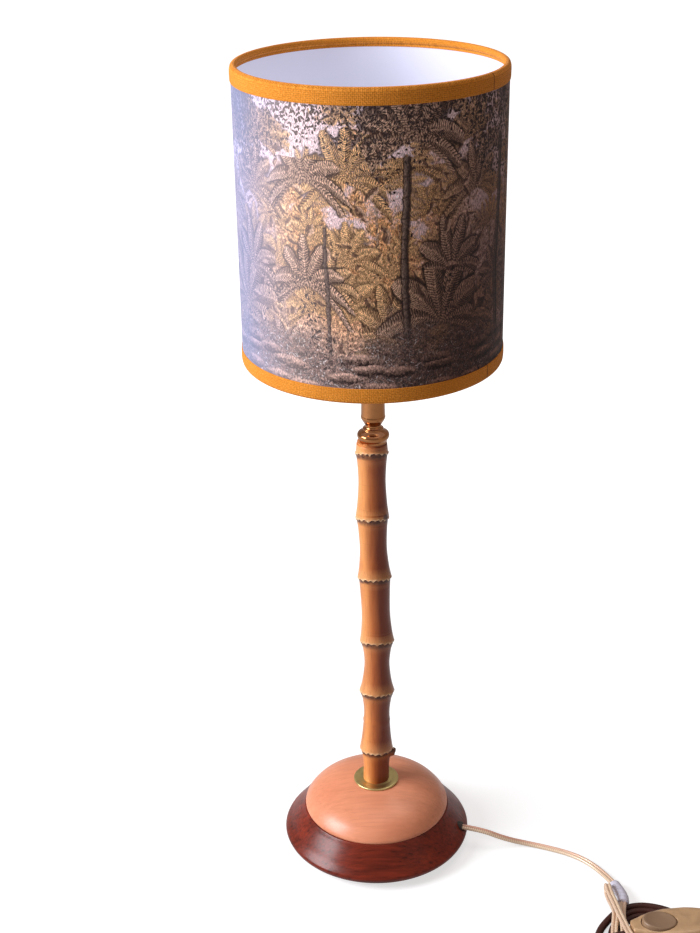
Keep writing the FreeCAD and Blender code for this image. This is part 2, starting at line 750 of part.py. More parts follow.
def switch_shells():
    outer = switch_form(0.0)
    hollow = switch_form(switch_wall)
    big = switch_length
    lower_half = block((-big, -big, -1.0), (big, big, switch_split))
    upper_half = block((-big, -big, switch_split), (big, big, switch_height + 1.0))
    opening = oval(rocker_length / 2 + rocker_clearance, rocker_width / 2 + rocker_clearance,
                   switch_split, switch_height + 1.0)
    roof = switch_height - switch_wall
    ear_inner = rocker_width / 2 + rocker_clearance
    ear_foot = rocker_pivot_height - trunnion_radius - 1.2
    screw_x, screw_y = case_screw_place
    posts = [rod(2.4, switch_wall, roof + 0.5, screw_x, side * screw_y) for side in (-1, 1)]
    ears = []
    for side in (-1, 1):
        low_y = min(side * ear_inner, side * (ear_inner + ear_thickness))
        ears.append(block((rocker_place - 2.4, low_y, ear_foot),
                          (rocker_place + 2.4, low_y + ear_thickness, roof + 0.3)))
    bearing = bar(trunnion_radius + trunnion_clearance, (rocker_place, -switch_width, rocker_pivot_height),
                  (rocker_place, switch_width, rocker_pivot_height)).common(hollow)
    screw_holes = [rod(case_screw_radius, 0.0, 9.0, screw_x, side * screw_y) for side in (-1, 1)]
    upper = outer.common(upper_half).cut(hollow).cut(opening).fuse([*posts, *ears])
    save("switch_upper_shell", placed(upper.cut([bearing, *screw_holes, *cord_holes()])))
    grip_foot = grip_top() - grip_thickness
    grip_posts = [rod(1.5, switch_wall - 0.3, grip_foot, x, y) for x, y in grip_screw_places()]
    head_holes = [rod(2.6, 0.0, 1.0, screw_x, side * screw_y) for side in (-1, 1)]
    lower = outer.common(lower_half).cut(hollow).fuse(grip_posts)
    pilot_holes = [rod(0.8, switch_wall, grip_top(), x, y) for x, y in grip_screw_places()]
    save("switch_lower_shell", placed(lower.cut([*screw_holes, *head_holes, *pilot_holes, *cord_holes()])))
    screws = []
    for side in (-1, 1):
        head = rod(2.5, 0.1, 1.0, screw_x, side * screw_y)
        screws.append(placed(head.fuse(rod(case_screw_radius, 1.0, 8.8, screw_x, side * screw_y))))
    save("switch_case_screws", *screws)


def grip_top():
    return switch_cord_height + lead_diameter / 2 + 0.1 + grip_thickness


def grip_screw_places():
    across = lead_diameter / 2 + 1.7
    return [(x, y) for x in (-grip_place, grip_place) for y in (-across, across)]


def cord_grips():
    across = lead_diameter / 2 + 2.9
    foot = grip_top() - grip_thickness
    grips = []
    for x in (-grip_place, grip_place):
        strip = block((x - grip_length / 2, -across, foot), (x + grip_length / 2, across, grip_top()))
        holes = [rod(0.8, foot, grip_top(), px, py) for px, py in grip_screw_places()]
        grips.append(placed(strip.cut(holes)))
    save("switch_cord_grips", *grips)
    screws = [rod(0.8, foot - 4.0, grip_top(), x, y).fuse(rod(1.2, grip_top(), grip_top() + 0.7, x, y))
              for x, y in grip_screw_places()]
    save("switch_grip_screws", *[placed(screw) for screw in screws])


def tilted(shape, angle, height):
    """Turn a shape about the rocker's cross axis at a height, then place it."""
    moved = shape.copy()
    moved.rotate(Vector(rocker_place, 0, height), Vector(0, 1, 0), angle)
    return placed(moved)


def switch_action():
    """Rocker with its sprung plunger, and the see-saw contact that the plunger tips the other way."""
    half_length = rocker_length / 2
    half_width = rocker_width / 2
    pocket = plunger_radius + plunger_clearance
    boss_foot = rocker_foot - 1.2
    ceiling = rocker_rise - rocker_wall
    shell = oval(half_length, half_width, rocker_foot, rocker_rise)
    shell = shell.cut(oval(half_length - rocker_wall, half_width - rocker_wall, rocker_foot, ceiling))
    pivot_reach = half_width + rocker_clearance + ear_thickness - 0.2
    trunnions = [bar(trunnion_radius, (rocker_place, side * (half_width - rocker_wall), rocker_pivot_height),
                     (rocker_place, side * pivot_reach, rocker_pivot_height)) for side in (-1, 1)]
    boss = rod(pocket + 1.1, boss_foot, ceiling, rocker_place)
    rocker = shell.fuse([boss, *trunnions]).cut(rod(pocket, boss_foot - 0.5, ceiling - 0.4, rocker_place))
    save("switch_rocker", tilted(rocker, rocker_tilt, rocker_pivot_height))
    tip_radius = plunger_radius * 0.8
    tip = Part.makeSphere(tip_radius, Vector(rocker_place, 0, plunger_tip_height + tip_radius))
    shaft = rod(plunger_radius, plunger_tip_height + plunger_radius, plunger_top_height, rocker_place)
    plunger = shaft.fuse(tip)
    save("switch_plunger", tilted(plunger, rocker_tilt, rocker_pivot_height))
    spring_room = ceiling - 0.4 - plunger_top_height - spring_wire
    coil_radius_here = plunger_radius - spring_wire / 2
    helix = Part.makeHelix(spring_room / spring_turns, spring_room, coil_radius_here)
    section = Part.Wire(Part.makeCircle(spring_wire / 2, Vector(coil_radius_here, 0, 0), Vector(0, 1, 0)))
    spring = Part.Wire(helix).makePipeShell([section], True, True)
    spring.translate(Vector(rocker_place, 0, plunger_top_height + spring_wire / 2))
    save("switch_spring", tilted(spring, rocker_tilt, rocker_pivot_height))
    plate_foot = seesaw_pivot_height + seesaw_gap
    plate = block((rocker_place - seesaw_length / 2, -seesaw_width / 2, plate_foot),
                  (rocker_place + seesaw_length / 2, seesaw_width / 2, plate_foot + seesaw_thickness))
    save("switch_seesaw", tilted(plate, -rocker_tilt, seesaw_pivot_height))


def switch_contacts():
    """Fixed contacts, their terminal screws, the through bar for the other core, and the bared cores."""
    floor = switch_wall
    half = terminal_block / 2
    strip_top = floor + 0.8
    blocks_top = floor + 4.6
    reach = seesaw_length / 2
    left = (rocker_place - reach - 4.4, rocker_place - reach - 0.4)
    right = (rocker_place + reach + 5.4, rocker_place + reach + 10.4)
    drop = seesaw_length / 2 * math.sin(math.radians(rocker_tilt))
    blade = block((rocker_place - 0.4, -half, strip_top), (rocker_place + 0.4, half, seesaw_pivot_height))
    live = block((left[0], -half, floor), (rocker_place + 0.4, half, strip_top)).fuse(
        [blade, block((left[0], -half, strip_top), (left[1], half, blocks_top))])
    anvil_top = seesaw_pivot_height + seesaw_gap - drop - seesaw_gap
    anvil = block((rocker_place + reach - 2.0, -half, floor), (rocker_place + reach, half, anvil_top))
    load = block((rocker_place + reach, -half, floor), (right[1], half, strip_top)).fuse(
        [anvil, block((right[0], -half, strip_top), (right[1], half, blocks_top))])
    bar_low, bar_high = (-21.5, 4.2, floor), (5.5, 8.0, floor + 3.6)
    through = block(bar_low, bar_high)
    middle_y = (bar_low[1] + bar_high[1]) / 2
    screw_places = [((left[0] + left[1]) / 2, 0.0, blocks_top), ((right[0] + right[1]) / 2, 0.0, blocks_top),
                    (bar_low[0] + 2.5, middle_y, bar_high[2]), (bar_high[0] - 2.5, middle_y, bar_high[2])]
    shanks = [rod(1.1, top - 2.4, top, x, y) for x, y, top in screw_places]
    screws = [shank.fuse(rod(1.8, top, top + 1.1, x, y)) for shank, (x, y, top) in zip(shanks, screw_places)]
    save("switch_contacts", *[placed(piece.cut(shanks)) for piece in (live, load)])
    save("switch_through_bar", placed(through.cut(shanks)))
    save("switch_terminal_screws", *[placed(screw) for screw in screws])
    inner_end = switch_length / 2 - switch_cord_depth - 0.4
    neutral, live_core = core_spacing, -core_spacing
    level = switch_cord_height
    cores = [
        bar(core_radius, (-inner_end, neutral, level), (bar_low[0] - 0.6, middle_y, level - 1.8)),
        bar(core_radius, (-inner_end, live_core, level), (left[0] - 0.4, live_core, level)),
        bar(core_radius, (inner_end, neutral, level), (bar_high[0] + 0.6, middle_y, level - 1.8)),
        bar(core_radius, (inner_end, live_core, level), (right[1] + 0.3, -0.8, level - 1.4)),
    ]
    save("switch_cores", *[placed(core) for core in cores])


def outlet_point(reach, height):
    return spoke_point(reach, outlet_azimuth, height)


flex_route = [
    outlet_point(outlet_reach - bush_length, outlet_height),
    outlet_point(92.0, outlet_height),
    (112.0, -24.8, 9.4),
    (133.0, -27.5, 2.9),
    (154.0, -33.5, 2.9),
    (173.0, -43.5, 2.9),
    (186.5, -55.5, 2.9),
    (194.6, -64.5, 3.0),
    (200.5, -77.0, 4.8),
    (207.0, -107.0, 9.8),
    (210.0, -121.0, 10.4),
]

flex_tail_route = [
    (207.0, -171.5, 17.8),
    (219.5, -171.0, 16.4),
    (233.0, -169.9, 14.2),
    (247.0, -170.2, 11.6),
    (261.5, -172.2, 9.0),
    (276.0, -175.4, 5.8),
    (290.0, -177.8, 3.2),
    (303.4, -177.2, 2.9),
    (313.6, -174.0, 2.9),
    (321.0, -166.5, 3.0),
    (323.5, -157.0, 4.4),
    (320.8, -148.5, 6.8),
    (313.0, -142.0, 9.3),
    switch_point(switch_length / 2 + 23.0, 0.0, switch_cord_height),
    switch_point(switch_length / 2 - switch_cord_depth, 0.0, switch_cord_height),
]

lead_route = [
    switch_point(switch_cord_depth - switch_length / 2, 0.0, switch_cord_height),
    (183.2, -152.0, 11.5),
    (168.9, -161.4, 8.0),
    (160.9, -177.2, 4.2),
    (161.1, -194.9, 3.0),
    (169.5, -210.4, 3.0),
    (184.1, -220.3, 3.0),
    (201.7, -222.3, 3.0),
    (218.0, -216.0, 3.0),
    (230.8, -202.6, 3.0),
    (243.5, -187.5, 3.0),
]

lead_tail_route = [
    (208.5, -175.3, 5.2),
    (221.0, -180.1, 8.9),
    (233.5, -186.0, 9.5),
    (246.0, -192.6, 9.2),
    (257.0, -197.4, 7.6),
    (plug_place[0] - 8.0, plug_place[1], plug_thickness / 2),
    (plug_place[0] + 4.0, plug_place[1], plug_thickness / 2),
]

# Sections of the folded hank: y, then the range of x, then the range of z
hank_sections = [
    (-79.5, (189.0, 195.8), (0.3, 9.0)),
    (-95.0, (188.3, 198.8), (0.8, 11.0)),
    (-109.0, (187.0, 202.5), (6.6, 15.0)),
    (-113.0, (186.8, 213.0), (6.8, 15.6)),
    (-123.0, (185.8, 213.0), (8.4, 17.5)),
    (-134.0, (184.8, 201.2), (12.5, 20.5)),
    (-141.0, (184.2, 200.8), (15.0, 21.5)),
    (-158.0, (180.5, 201.4), (15.0, 21.5)),
    (-165.0, (178.0, 212.0), (15.0, 21.5)),
    (-197.0, (172.0, 210.0), (12.8, 19.5)),
]


def hank():
    """Folded gold flex as one plain body of its outer form."""
    wires = []
    for y, (left, right), (low, high) in hank_sections:
        corners = [(left, low), (right, low), (right, high), (left, high), (left, low)]
        wires.append(Part.makePolygon([Vector(x, y, z) for x, z in corners]))
    return Part.makeLoft(wires, True, True)


def cords():
    save("flex_run", cord_tube("flex_run", flex_route, flex_diameter))
    save("flex_hank", hank())
    save("flex_tail", cord_tube("flex_tail", flex_tail_route, flex_diameter))
    save("lead_run", cord_tube("lead_run", lead_route, lead_diameter))
    coil = pipe(coil_radius, coil_bore_radius, 0.0, lead_diameter)
    coil.translate(Vector(*coil_centre, 0))
    save("lead_coil", coil)
    save("lead_tail", cord_tube("lead_tail", lead_tail_route, lead_diameter))
    start, end = Vector(*flex_route[-3]), Vector(*flex_route[-2])
    way = (end - start).normalize()
    tie_from = start + way * tie_start
    tie_to = start + way * (tie_start + tie_length)
    save("flex_tie", bar(tie_radius, tie_from, tie_to).cut(bar(tie_bore_radius, tie_from, tie_to)))


def plug():
    """Flat two-pin plug lying on the floor, pins towards +X."""
    x, y = plug_place
    z = plug_thickness / 2
    body_start = x + relief_length
    body_end = body_start + plug_length
    half = plug_width / 2
    tail = plug_tail_width / 2
    outline = [(body_start, -tail), (body_start + 17.0, -half + 2.0), (body_end - 5.0, -half),
               (body_end, -half + 5.0), (body_end, half - 5.0), (body_end - 5.0, half),
               (body_start + 17.0, half - 2.0), (body_start, tail), (body_start, -tail)]
    corners = [Vector(px, y + py, 0) for px, py in outline]
    body = Part.Face(Part.makePolygon(corners)).extrude(Vector(0, 0, plug_thickness))
    long_edges = [edge for edge in body.Edges
                  if abs(edge.CenterOfMass.z - z) > z - 0.1 and edge.CenterOfMass.x < body_end - 0.1]
    body = body.makeFillet(2.2, long_edges)
    relief = Part.makeCone(lead_diameter / 2 + 0.9, relief_radius, relief_length + 1.0,
                           Vector(x, y, z), Vector(1, 0, 0))
    grooves = []
    for index in range(4):
        at = x + 4.0 + index * 4.6
        groove = bar(relief_radius + 1.0, (at, y, z), (at + 1.4, y, z))
        core = bar(lead_diameter / 2 + 0.55 + 0.28 * index, (at, y, z), (at + 1.4, y, z))
        grooves.append(groove.cut(core))
    body = body.fuse(relief.cut(grooves))
    entry = bar(relief_bore_radius, (x - 1.0, y, z), (x + 12.0, y, z))
    pins = []
    sleeves = []
    sockets = []
    for side in (-1, 1):
        py = y + side * pin_spacing / 2
        tip = (body_end + pin_length - pin_radius * 0.5, py, z)
        seat = (body_end - 8.0, py, z)
        sockets.append(bar(pin_radius, seat, (body_end, py, z)))
        point = Part.makeCone(pin_radius, pin_radius * 0.6, pin_radius * 0.5, Vector(*tip), Vector(1, 0, 0))
        pin = bar(pin_radius, seat, tip).fuse(point)
        neck = bar(pin_radius, (body_end, py, z), (body_end + sleeve_length, py, z))
        neck = neck.cut(bar(pin_radius - sleeve_recess, (body_end, py, z), (body_end + sleeve_length, py, z)))
        pins.append(pin.cut(neck))
        sleeves.append(neck)
    save("plug_body", body.cut([entry, *sockets]))
    save("plug_pins", *pins)
    save("plug_sleeves", *sleeves)


os.makedirs("parts", exist_ok=True)
base()
central_tube()
cane_stem()
brass_top()
lampholder()
shade_clamp_rings()
shade_frames()
shade()
bulb()
flex_inside()
switch_shells()
cord_grips()
switch_action()
switch_contacts()
cords()
plug()
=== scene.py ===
"""Bamboo table lamp, dressed for a still picture.

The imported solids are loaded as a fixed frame. Each operator models one piece, or one family of like
pieces, in metres, gives it its finish and says which body carries it.
"""
import json
import math

import bpy
from bpy.props import FloatProperty, FloatVectorProperty, IntProperty, PointerProperty
from mathutils import Matrix, Vector


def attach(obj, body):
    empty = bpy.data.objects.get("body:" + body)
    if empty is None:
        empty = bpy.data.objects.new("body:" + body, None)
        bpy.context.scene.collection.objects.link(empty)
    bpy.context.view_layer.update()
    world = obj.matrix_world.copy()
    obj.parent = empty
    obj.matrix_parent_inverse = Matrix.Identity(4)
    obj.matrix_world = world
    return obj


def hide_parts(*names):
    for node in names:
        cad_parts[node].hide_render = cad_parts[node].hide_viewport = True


bl_info = {
    "name": "Bamboo table lamp",
    "version": (1, 0, 0),
    "blender": (4, 5, 0),
    "location": "3D View > Sidebar > Lamp",
    "description": "Builds a bamboo table lamp with its flex, in-line switch, lead and plug",
    "category": "Object",
}

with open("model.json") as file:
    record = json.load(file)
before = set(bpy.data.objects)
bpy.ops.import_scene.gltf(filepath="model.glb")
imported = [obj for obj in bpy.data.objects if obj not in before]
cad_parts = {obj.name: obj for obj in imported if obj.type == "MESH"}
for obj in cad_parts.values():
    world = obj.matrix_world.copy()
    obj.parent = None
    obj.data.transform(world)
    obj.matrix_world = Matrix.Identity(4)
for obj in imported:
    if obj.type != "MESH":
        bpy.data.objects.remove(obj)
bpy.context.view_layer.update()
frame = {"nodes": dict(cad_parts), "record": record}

MM = 0.001

# Heights and radii that the pieces share, in millimetres
DOME_TOP = 58.2
CANE_FOOT = 60.0
CANE_TOP = 383.0
SHADE_FOOT = 455.3
SHADE_TOP = 680.0
SWITCH_PLACE = (240.6, -146.0, 6.3)
SWITCH_TURN = math.radians(6.0)
ROCKER_ALONG = -16.5
ROCKER_TILT = math.radians(7.0)
ROCKER_PIVOT = 12.4
PLUG_PLACE = (274.0, -199.0)
COIL_CENTRE = (217.0, -152.0)


class LampSizes(bpy.types.PropertyGroup):
    """Sizes that can be changed without remodelling a piece by hand."""

    turning_steps: IntProperty(
        name="Turning steps", description="Faces round each turned piece", default=128, min=32, max=256)
    flex_width: FloatProperty(
        name="Flex width", description="Width of the twin flex over both conductors",
        default=0.0058, unit="LENGTH")
    lead_diameter: FloatProperty(
        name="Lead diameter", description="Diameter of the round lead", default=0.006, unit="LENGTH")
    rim_teeth: IntProperty(
        name="Rim teeth", description="Teeth round each joint of the cane", default=17, min=6, max=30)
    tooth_depth: FloatProperty(
        name="Tooth depth", description="How ragged the joints of the cane are",
        default=0.0011, unit="LENGTH")
    thread_pitch: FloatProperty(
        name="Thread pitch", description="Pitch of the thread on the bulb's cap",
        default=0.0028, unit="LENGTH")
    lens: FloatProperty(
        name="Lens", description="Focal length of the camera in millimetres", default=59.98)
    key_power: FloatProperty(
        name="Window light", description="Power of the large light on the left", default=78.0)
    fill_power: FloatProperty(
        name="Fill light", description="Power of the weak warm light on the right", default=1.3)
    sky_strength: FloatProperty(
        name="Sky", description="Strength of the even light from all round", default=0.17)


def colour_property(label, use, value):
    return FloatVectorProperty(name=label, description=use, subtype="COLOR", size=3, default=value)


class LampColours(bpy.types.PropertyGroup):
    """Colours of the main finishes, in linear light."""

    terracotta: colour_property("Dome", "Varnished dome of the base", (0.77, 0.285, 0.148))
    mahogany: colour_property("Ring", "Dark turned ring of the base", (0.100, 0.014, 0.008))
    cane_pale: colour_property("Cane, pale", "Pale parts of the cane", (0.50, 0.138, 0.030))
    cane_deep: colour_property("Cane, deep", "Deep parts of the cane", (0.21, 0.036, 0.007))
    brass: colour_property("Brass", "Polished brass", (0.40, 0.172, 0.066))
    mustard: colour_property("Trim", "Mustard tape on the shade's rims", (0.76, 0.246, 0.013))
    haze: colour_property("Print, haze", "Ground colour of the printed fabric", (0.82, 0.68, 0.70))
    ochre: colour_property("Print, leaves", "Lit leaves of the print", (0.98, 0.62, 0.34))
    umber: colour_property("Print, shade", "Dark leaves of the print", (0.070, 0.038, 0.034))
    lining: colour_property("Lining", "Inside of the shade", (0.46, 0.46, 0.54))
    flex: colour_property("Flex", "Gold twin flex", (0.80, 0.61, 0.43))
    lead: colour_property("Lead", "Dark brown round lead", (0.038, 0.011, 0.008))
    switch: colour_property("Switch", "Tan gold switch", (0.50, 0.31, 0.16))
    rocker: colour_property("Rocker", "Rocker of the switch", (0.27, 0.165, 0.095))


# Wiring of materials


def put(tree, kind, inputs=None, **settings):
    """Add a node, set it up and give its inputs values or links."""
    made = tree.nodes.new(kind)
    for key, value in settings.items():
        setattr(made, key, value)
    for key, value in (inputs or {}).items():
        if isinstance(value, bpy.types.NodeSocket):
            tree.links.new(value, made.inputs[key])
        else:
            made.inputs[key].default_value = value
    return made


def calc(tree, operation, first, second=0.0, third=0.0, clamp=False):
    """One step of arithmetic."""
    made = put(tree, "ShaderNodeMath", {0: first, 1: second, 2: third}, operation=operation, use_clamp=clamp)
    return made.outputs[0]


def tone(tree, factor, dark, pale, mode="MIX"):
    """Mix two colours by a value."""
    made = put(tree, "ShaderNodeMix", {0: factor, 6: opaque(dark), 7: opaque(pale)},
               data_type="RGBA", blend_type=mode)
    return made.outputs[2]


def opaque(colour):
    if isinstance(colour, bpy.types.NodeSocket):
        return colour
    return (colour[0], colour[1], colour[2], 1.0)


def spread(tree, value, low, high, out_low=0.0, out_high=1.0, smooth=False):
    """Map a range of a value onto another."""
    made = put(tree, "ShaderNodeMapRange", {0: value, 1: low, 2: high, 3: out_low, 4: out_high},
               interpolation_type="SMOOTHSTEP" if smooth else "LINEAR")
    return made.outputs[0]


def speckle(tree, vector, scale, detail=3.0, rough=0.55, distortion=0.0):
    made = put(tree, "ShaderNodeTexNoise", {"Vector": vector, "Scale": scale, "Detail": detail,
                                            "Roughness": rough, "Distortion": distortion})
    return made.outputs[0]


def stretched(tree, vector, scale, turn=(0.0, 0.0, 0.0), shift=(0.0, 0.0, 0.0)):
    made = put(tree, "ShaderNodeMapping", {"Vector": vector, "Scale": scale, "Rotation": turn,
                                           "Location": shift})
    return made.outputs[0]


def relief(tree, height, distance, strength=1.0, normal=None):
    inputs = {"Height": height, "Distance": distance, "Strength": strength}
    if normal is not None:
        inputs["Normal"] = normal
    return put(tree, "ShaderNodeBump", inputs).outputs[0]


def own_place(tree):
    return put(tree, "ShaderNodeTexCoord").outputs["Object"]


def own_uv(tree):
    return put(tree, "ShaderNodeUVMap", uv_map="Cloth").outputs[0]


def kept_value(tree, name):
    return put(tree, "ShaderNodeAttribute", attribute_name=name).outputs["Fac"]


def group(name, inputs, outputs, wire):
    """Node group made once; wire gets its tree and its inputs and gives back its outputs."""
    known = bpy.data.node_groups.get(name)
    if known:
        return known
    tree = bpy.data.node_groups.new(name, "ShaderNodeTree")
    for label, kind, value in inputs:
        socket = tree.interface.new_socket(label, in_out="INPUT", socket_type=kind)
        if value is not None:
            socket.default_value = value
    for label, kind in outputs:
        tree.interface.new_socket(label, in_out="OUTPUT", socket_type=kind)
    start = tree.nodes.new("NodeGroupInput")
    end = tree.nodes.new("NodeGroupOutput")
    for label, value in wire(tree, start.outputs).items():
        tree.links.new(value, end.inputs[label])
    return tree


def use(tree, made_group, inputs):
    return put(tree, "ShaderNodeGroup", inputs, node_tree=made_group).outputs


NUMBER = "NodeSocketFloat"
PLACE = "NodeSocketVector"
TINT = "NodeSocketColor"


def wire_wood_grain(tree, given):
    """Fine streaks along X with slow bands across them."""
    fine = stretched(tree, given["Vector"], (18.0, 420.0, 420.0))
    slow = stretched(tree, given["Vector"], (5.0, 60.0, 60.0))
    streak = speckle(tree, fine, 1.0, 5.0, 0.6)
    band = speckle(tree, slow, 1.0, 2.0, 0.5, 0.6)
    both = calc(tree, "MULTIPLY_ADD", streak, given["Fineness"], calc(tree, "MULTIPLY", band, 0.5))
    pores = spread(tree, streak, 0.30, 0.42, 1.0, 0.0, True)
    return {"Grain": both, "Pores": pores}


def wood_grain():
    return group("wood grain", [("Vector", PLACE, None), ("Fineness", NUMBER, 0.6)],
                 [("Grain", NUMBER), ("Pores", NUMBER)], wire_wood_grain)


def wire_handling(tree, given):
    """Faint smears and specks that change how a surface shines."""
    smear = speckle(tree, given["Vector"], 26.0, 3.0, 0.6, 0.8)
    speck = speckle(tree, given["Vector"], 900.0, 2.0, 0.5)
    dust = spread(tree, speck, 0.63, 0.76, 0.0, 1.0, True)
    return {"Smear": spread(tree, smear, 0.35, 0.7, 0.0, 1.0, True), "Dust": dust}


def handling():
    return group("handling", [("Vector", PLACE, None)], [("Smear", NUMBER), ("Dust", NUMBER)],
                 wire_handling)


def wire_weave(tree, given):
    """Plain weave on flat coordinates: threads pass over and under in turn."""
    split = put(tree, "ShaderNodeSeparateXYZ", {0: given["Vector"]})
    across = calc(tree, "DIVIDE", split.outputs[0], given["Pitch"])
    along = calc(tree, "DIVIDE", split.outputs[1], given["Pitch"])
    warp = calc(tree, "ABSOLUTE", calc(tree, "SINE", calc(tree, "MULTIPLY", across, math.pi)))
    weft = calc(tree, "ABSOLUTE", calc(tree, "SINE", calc(tree, "MULTIPLY", along, math.pi)))
    cell = calc(tree, "ADD", calc(tree, "FLOOR", across), calc(tree, "FLOOR", along))
    over = calc(tree, "PINGPONG", cell, 1.0)
    swap = calc(tree, "SUBTRACT", 1.0, over)
    height = calc(tree, "ADD", calc(tree, "MULTIPLY", warp, over), calc(tree, "MULTIPLY", weft, swap))
    slub = speckle(tree, stretched(tree, given["Vector"], (60.0, 900.0, 1.0)), 1.0, 2.0)
    return {"Height": height, "Slub": slub}


def weave():
    return group("weave", [("Vector", PLACE, None), ("Pitch", NUMBER, 0.0008)],
                 [("Height", NUMBER), ("Slub", NUMBER)], wire_weave)


def wire_fronds(tree, given):
    """Clumps of feathered fronds that open upwards, one in each cell of a loose scatter."""
    cells = put(tree, "ShaderNodeTexVoronoi", {"Vector": given["Vector"], "Scale": given["Cells"],
                                               "Randomness": 0.8}, voronoi_dimensions="2D")
    chance = put(tree, "ShaderNodeSeparateColor", {0: cells.outputs["Color"]})
    local = put(tree, "ShaderNodeVectorMath", {0: given["Vector"], 1: cells.outputs["Position"]},
                operation="SUBTRACT")
    split = put(tree, "ShaderNodeSeparateXYZ", {0: local.outputs[0]})
    reach = calc(tree, "MULTIPLY", given["Reach"],
                 calc(tree, "MULTIPLY_ADD", chance.outputs[1], 0.5, 0.65))
    sag = calc(tree, "DIVIDE", calc(tree, "MULTIPLY", split.outputs[0], split.outputs[0]), reach)
    up = calc(tree, "MULTIPLY_ADD", reach, 0.35, split.outputs[1])
    high = calc(tree, "MULTIPLY_ADD", sag, given["Droop"], up)
    radius = calc(tree, "SQRT", calc(tree, "ADD", calc(tree, "MULTIPLY", split.outputs[0], split.outputs[0]),
                                     calc(tree, "MULTIPLY", high, high)))
    angle = calc(tree, "MULTIPLY_ADD", chance.outputs[0], math.tau,
                 calc(tree, "ARCTAN2", high, split.outputs[0]))
    sector = calc(tree, "DIVIDE", math.tau, given["Count"])
    index = calc(tree, "ROUND", calc(tree, "DIVIDE", angle, sector))
    turn = calc(tree, "SUBTRACT", angle, calc(tree, "MULTIPLY", index, sector))
    along = calc(tree, "MULTIPLY", radius, calc(tree, "COSINE", turn))
    side = calc(tree, "MULTIPLY", radius, calc(tree, "SINE", turn))
    across = calc(tree, "ABSOLUTE", side)
    share = calc(tree, "DIVIDE", along, reach, clamp=True)
    swell = calc(tree, "POWER", calc(tree, "SINE", calc(tree, "MULTIPLY", share, math.pi)), 0.55)
    width = calc(tree, "MULTIPLY", calc(tree, "MULTIPLY", swell, reach), given["Width"])
    slant = calc(tree, "SUBTRACT", along, calc(tree, "MULTIPLY", across, 0.85))
    leaf = calc(tree, "FRACT", calc(tree, "MULTIPLY", slant, given["Leaflets"]))
    inside = spread(tree, calc(tree, "SUBTRACT", width, across), -0.0002, 0.0004)
    blade = spread(tree, leaf, 0.66, 0.78, 1.0, 0.0)
    rib = spread(tree, across, 0.0003, 0.0009, 1.0, 0.0)
    tip = spread(tree, share, 0.97, 1.0, 1.0, 0.0)
    drawn = calc(tree, "MAXIMUM", calc(tree, "MULTIPLY", inside, blade), rib)
    fan = calc(tree, "MULTIPLY_ADD", calc(tree, "ABSOLUTE", split.outputs[0]), 0.3, high)
    there = calc(tree, "MULTIPLY", calc(tree, "LESS_THAN", chance.outputs[2], given["Fill"]),
                 spread(tree, fan, -0.0015, 0.0005))
    mask = calc(tree, "MULTIPLY", calc(tree, "MULTIPLY", drawn, tip), there)
    lit = calc(tree, "MULTIPLY_ADD", leaf, 0.9, calc(tree, "MULTIPLY_ADD", share, 0.4, -0.22))
    lit = calc(tree, "MULTIPLY_ADD", spread(tree, side, -0.003, 0.003), 0.4, lit, clamp=True)
    round_it = spread(tree, calc(tree, "SUBTRACT", calc(tree, "MULTIPLY", width, 1.25), across), -0.0014, 0.0004)
    bed = calc(tree, "MULTIPLY", calc(tree, "MULTIPLY", round_it, tip), there)
    return {"Mask": mask, "Light": lit, "Bed": bed, "Chance": chance.outputs[1]}


def fronds():
    inputs = [("Vector", PLACE, None), ("Cells", NUMBER, 20.0), ("Reach", NUMBER, 0.03),
              ("Width", NUMBER, 0.2), ("Droop", NUMBER, 0.6), ("Count", NUMBER, 9.0),
              ("Leaflets", NUMBER, 450.0), ("Fill", NUMBER, 0.8)]
    outputs = [("Mask", NUMBER), ("Light", NUMBER), ("Bed", NUMBER), ("Chance", NUMBER)]
    return group("fronds", inputs, outputs, wire_fronds)


def wire_leaves(tree, given):
    """Small pointed leaves, one to a cell, each turned its own way, with a vein and a lit side."""
    cells = put(tree, "ShaderNodeTexVoronoi", {"Vector": given["Vector"], "Scale": given["PerMetre"],
                                               "Randomness": 1.0}, voronoi_dimensions="2D")
    chance = put(tree, "ShaderNodeSeparateColor", {0: cells.outputs["Color"]})
    local = put(tree, "ShaderNodeVectorMath", {0: given["Vector"], 1: cells.outputs["Position"]},
                operation="SUBTRACT")
    unit = put(tree, "ShaderNodeVectorMath", {0: local.outputs[0], "Scale": given["PerMetre"]}, operation="SCALE")
    turn = calc(tree, "MULTIPLY_ADD", calc(tree, "SUBTRACT", chance.outputs[0], 0.5), given["Scatter"], given["Turn"])
    turned_round = put(tree, "ShaderNodeVectorRotate", {"Vector": unit.outputs[0], "Angle": turn},
                       rotation_type="Z_AXIS")
    split = put(tree, "ShaderNodeSeparateXYZ", {0: turned_round.outputs[0]})
    along = calc(tree, "DIVIDE", split.outputs[0], 0.52)
    taper = calc(tree, "SUBTRACT", 1.0, calc(tree, "MULTIPLY", along, along))
    across = calc(tree, "ABSOLUTE", split.outputs[1])
    room = calc(tree, "MULTIPLY_ADD", taper, given["Width"], calc(tree, "MULTIPLY", across, -1.0))
    there = calc(tree, "LESS_THAN", chance.outputs[1], given["Fill"])
    mask = calc(tree, "MULTIPLY", spread(tree, room, 0.0, 0.05), there)
    lit = spread(tree, split.outputs[1], -0.03, 0.06, 0.1, 1.0)
    lit = calc(tree, "MULTIPLY", lit, spread(tree, across, 0.0, 0.035, 0.3, 1.0))
    lit = calc(tree, "MULTIPLY", lit, calc(tree, "MULTIPLY_ADD", chance.outputs[2], 0.6, 0.4))
    return {"Mask": mask, "Light": lit, "Chance": chance.outputs[2]}


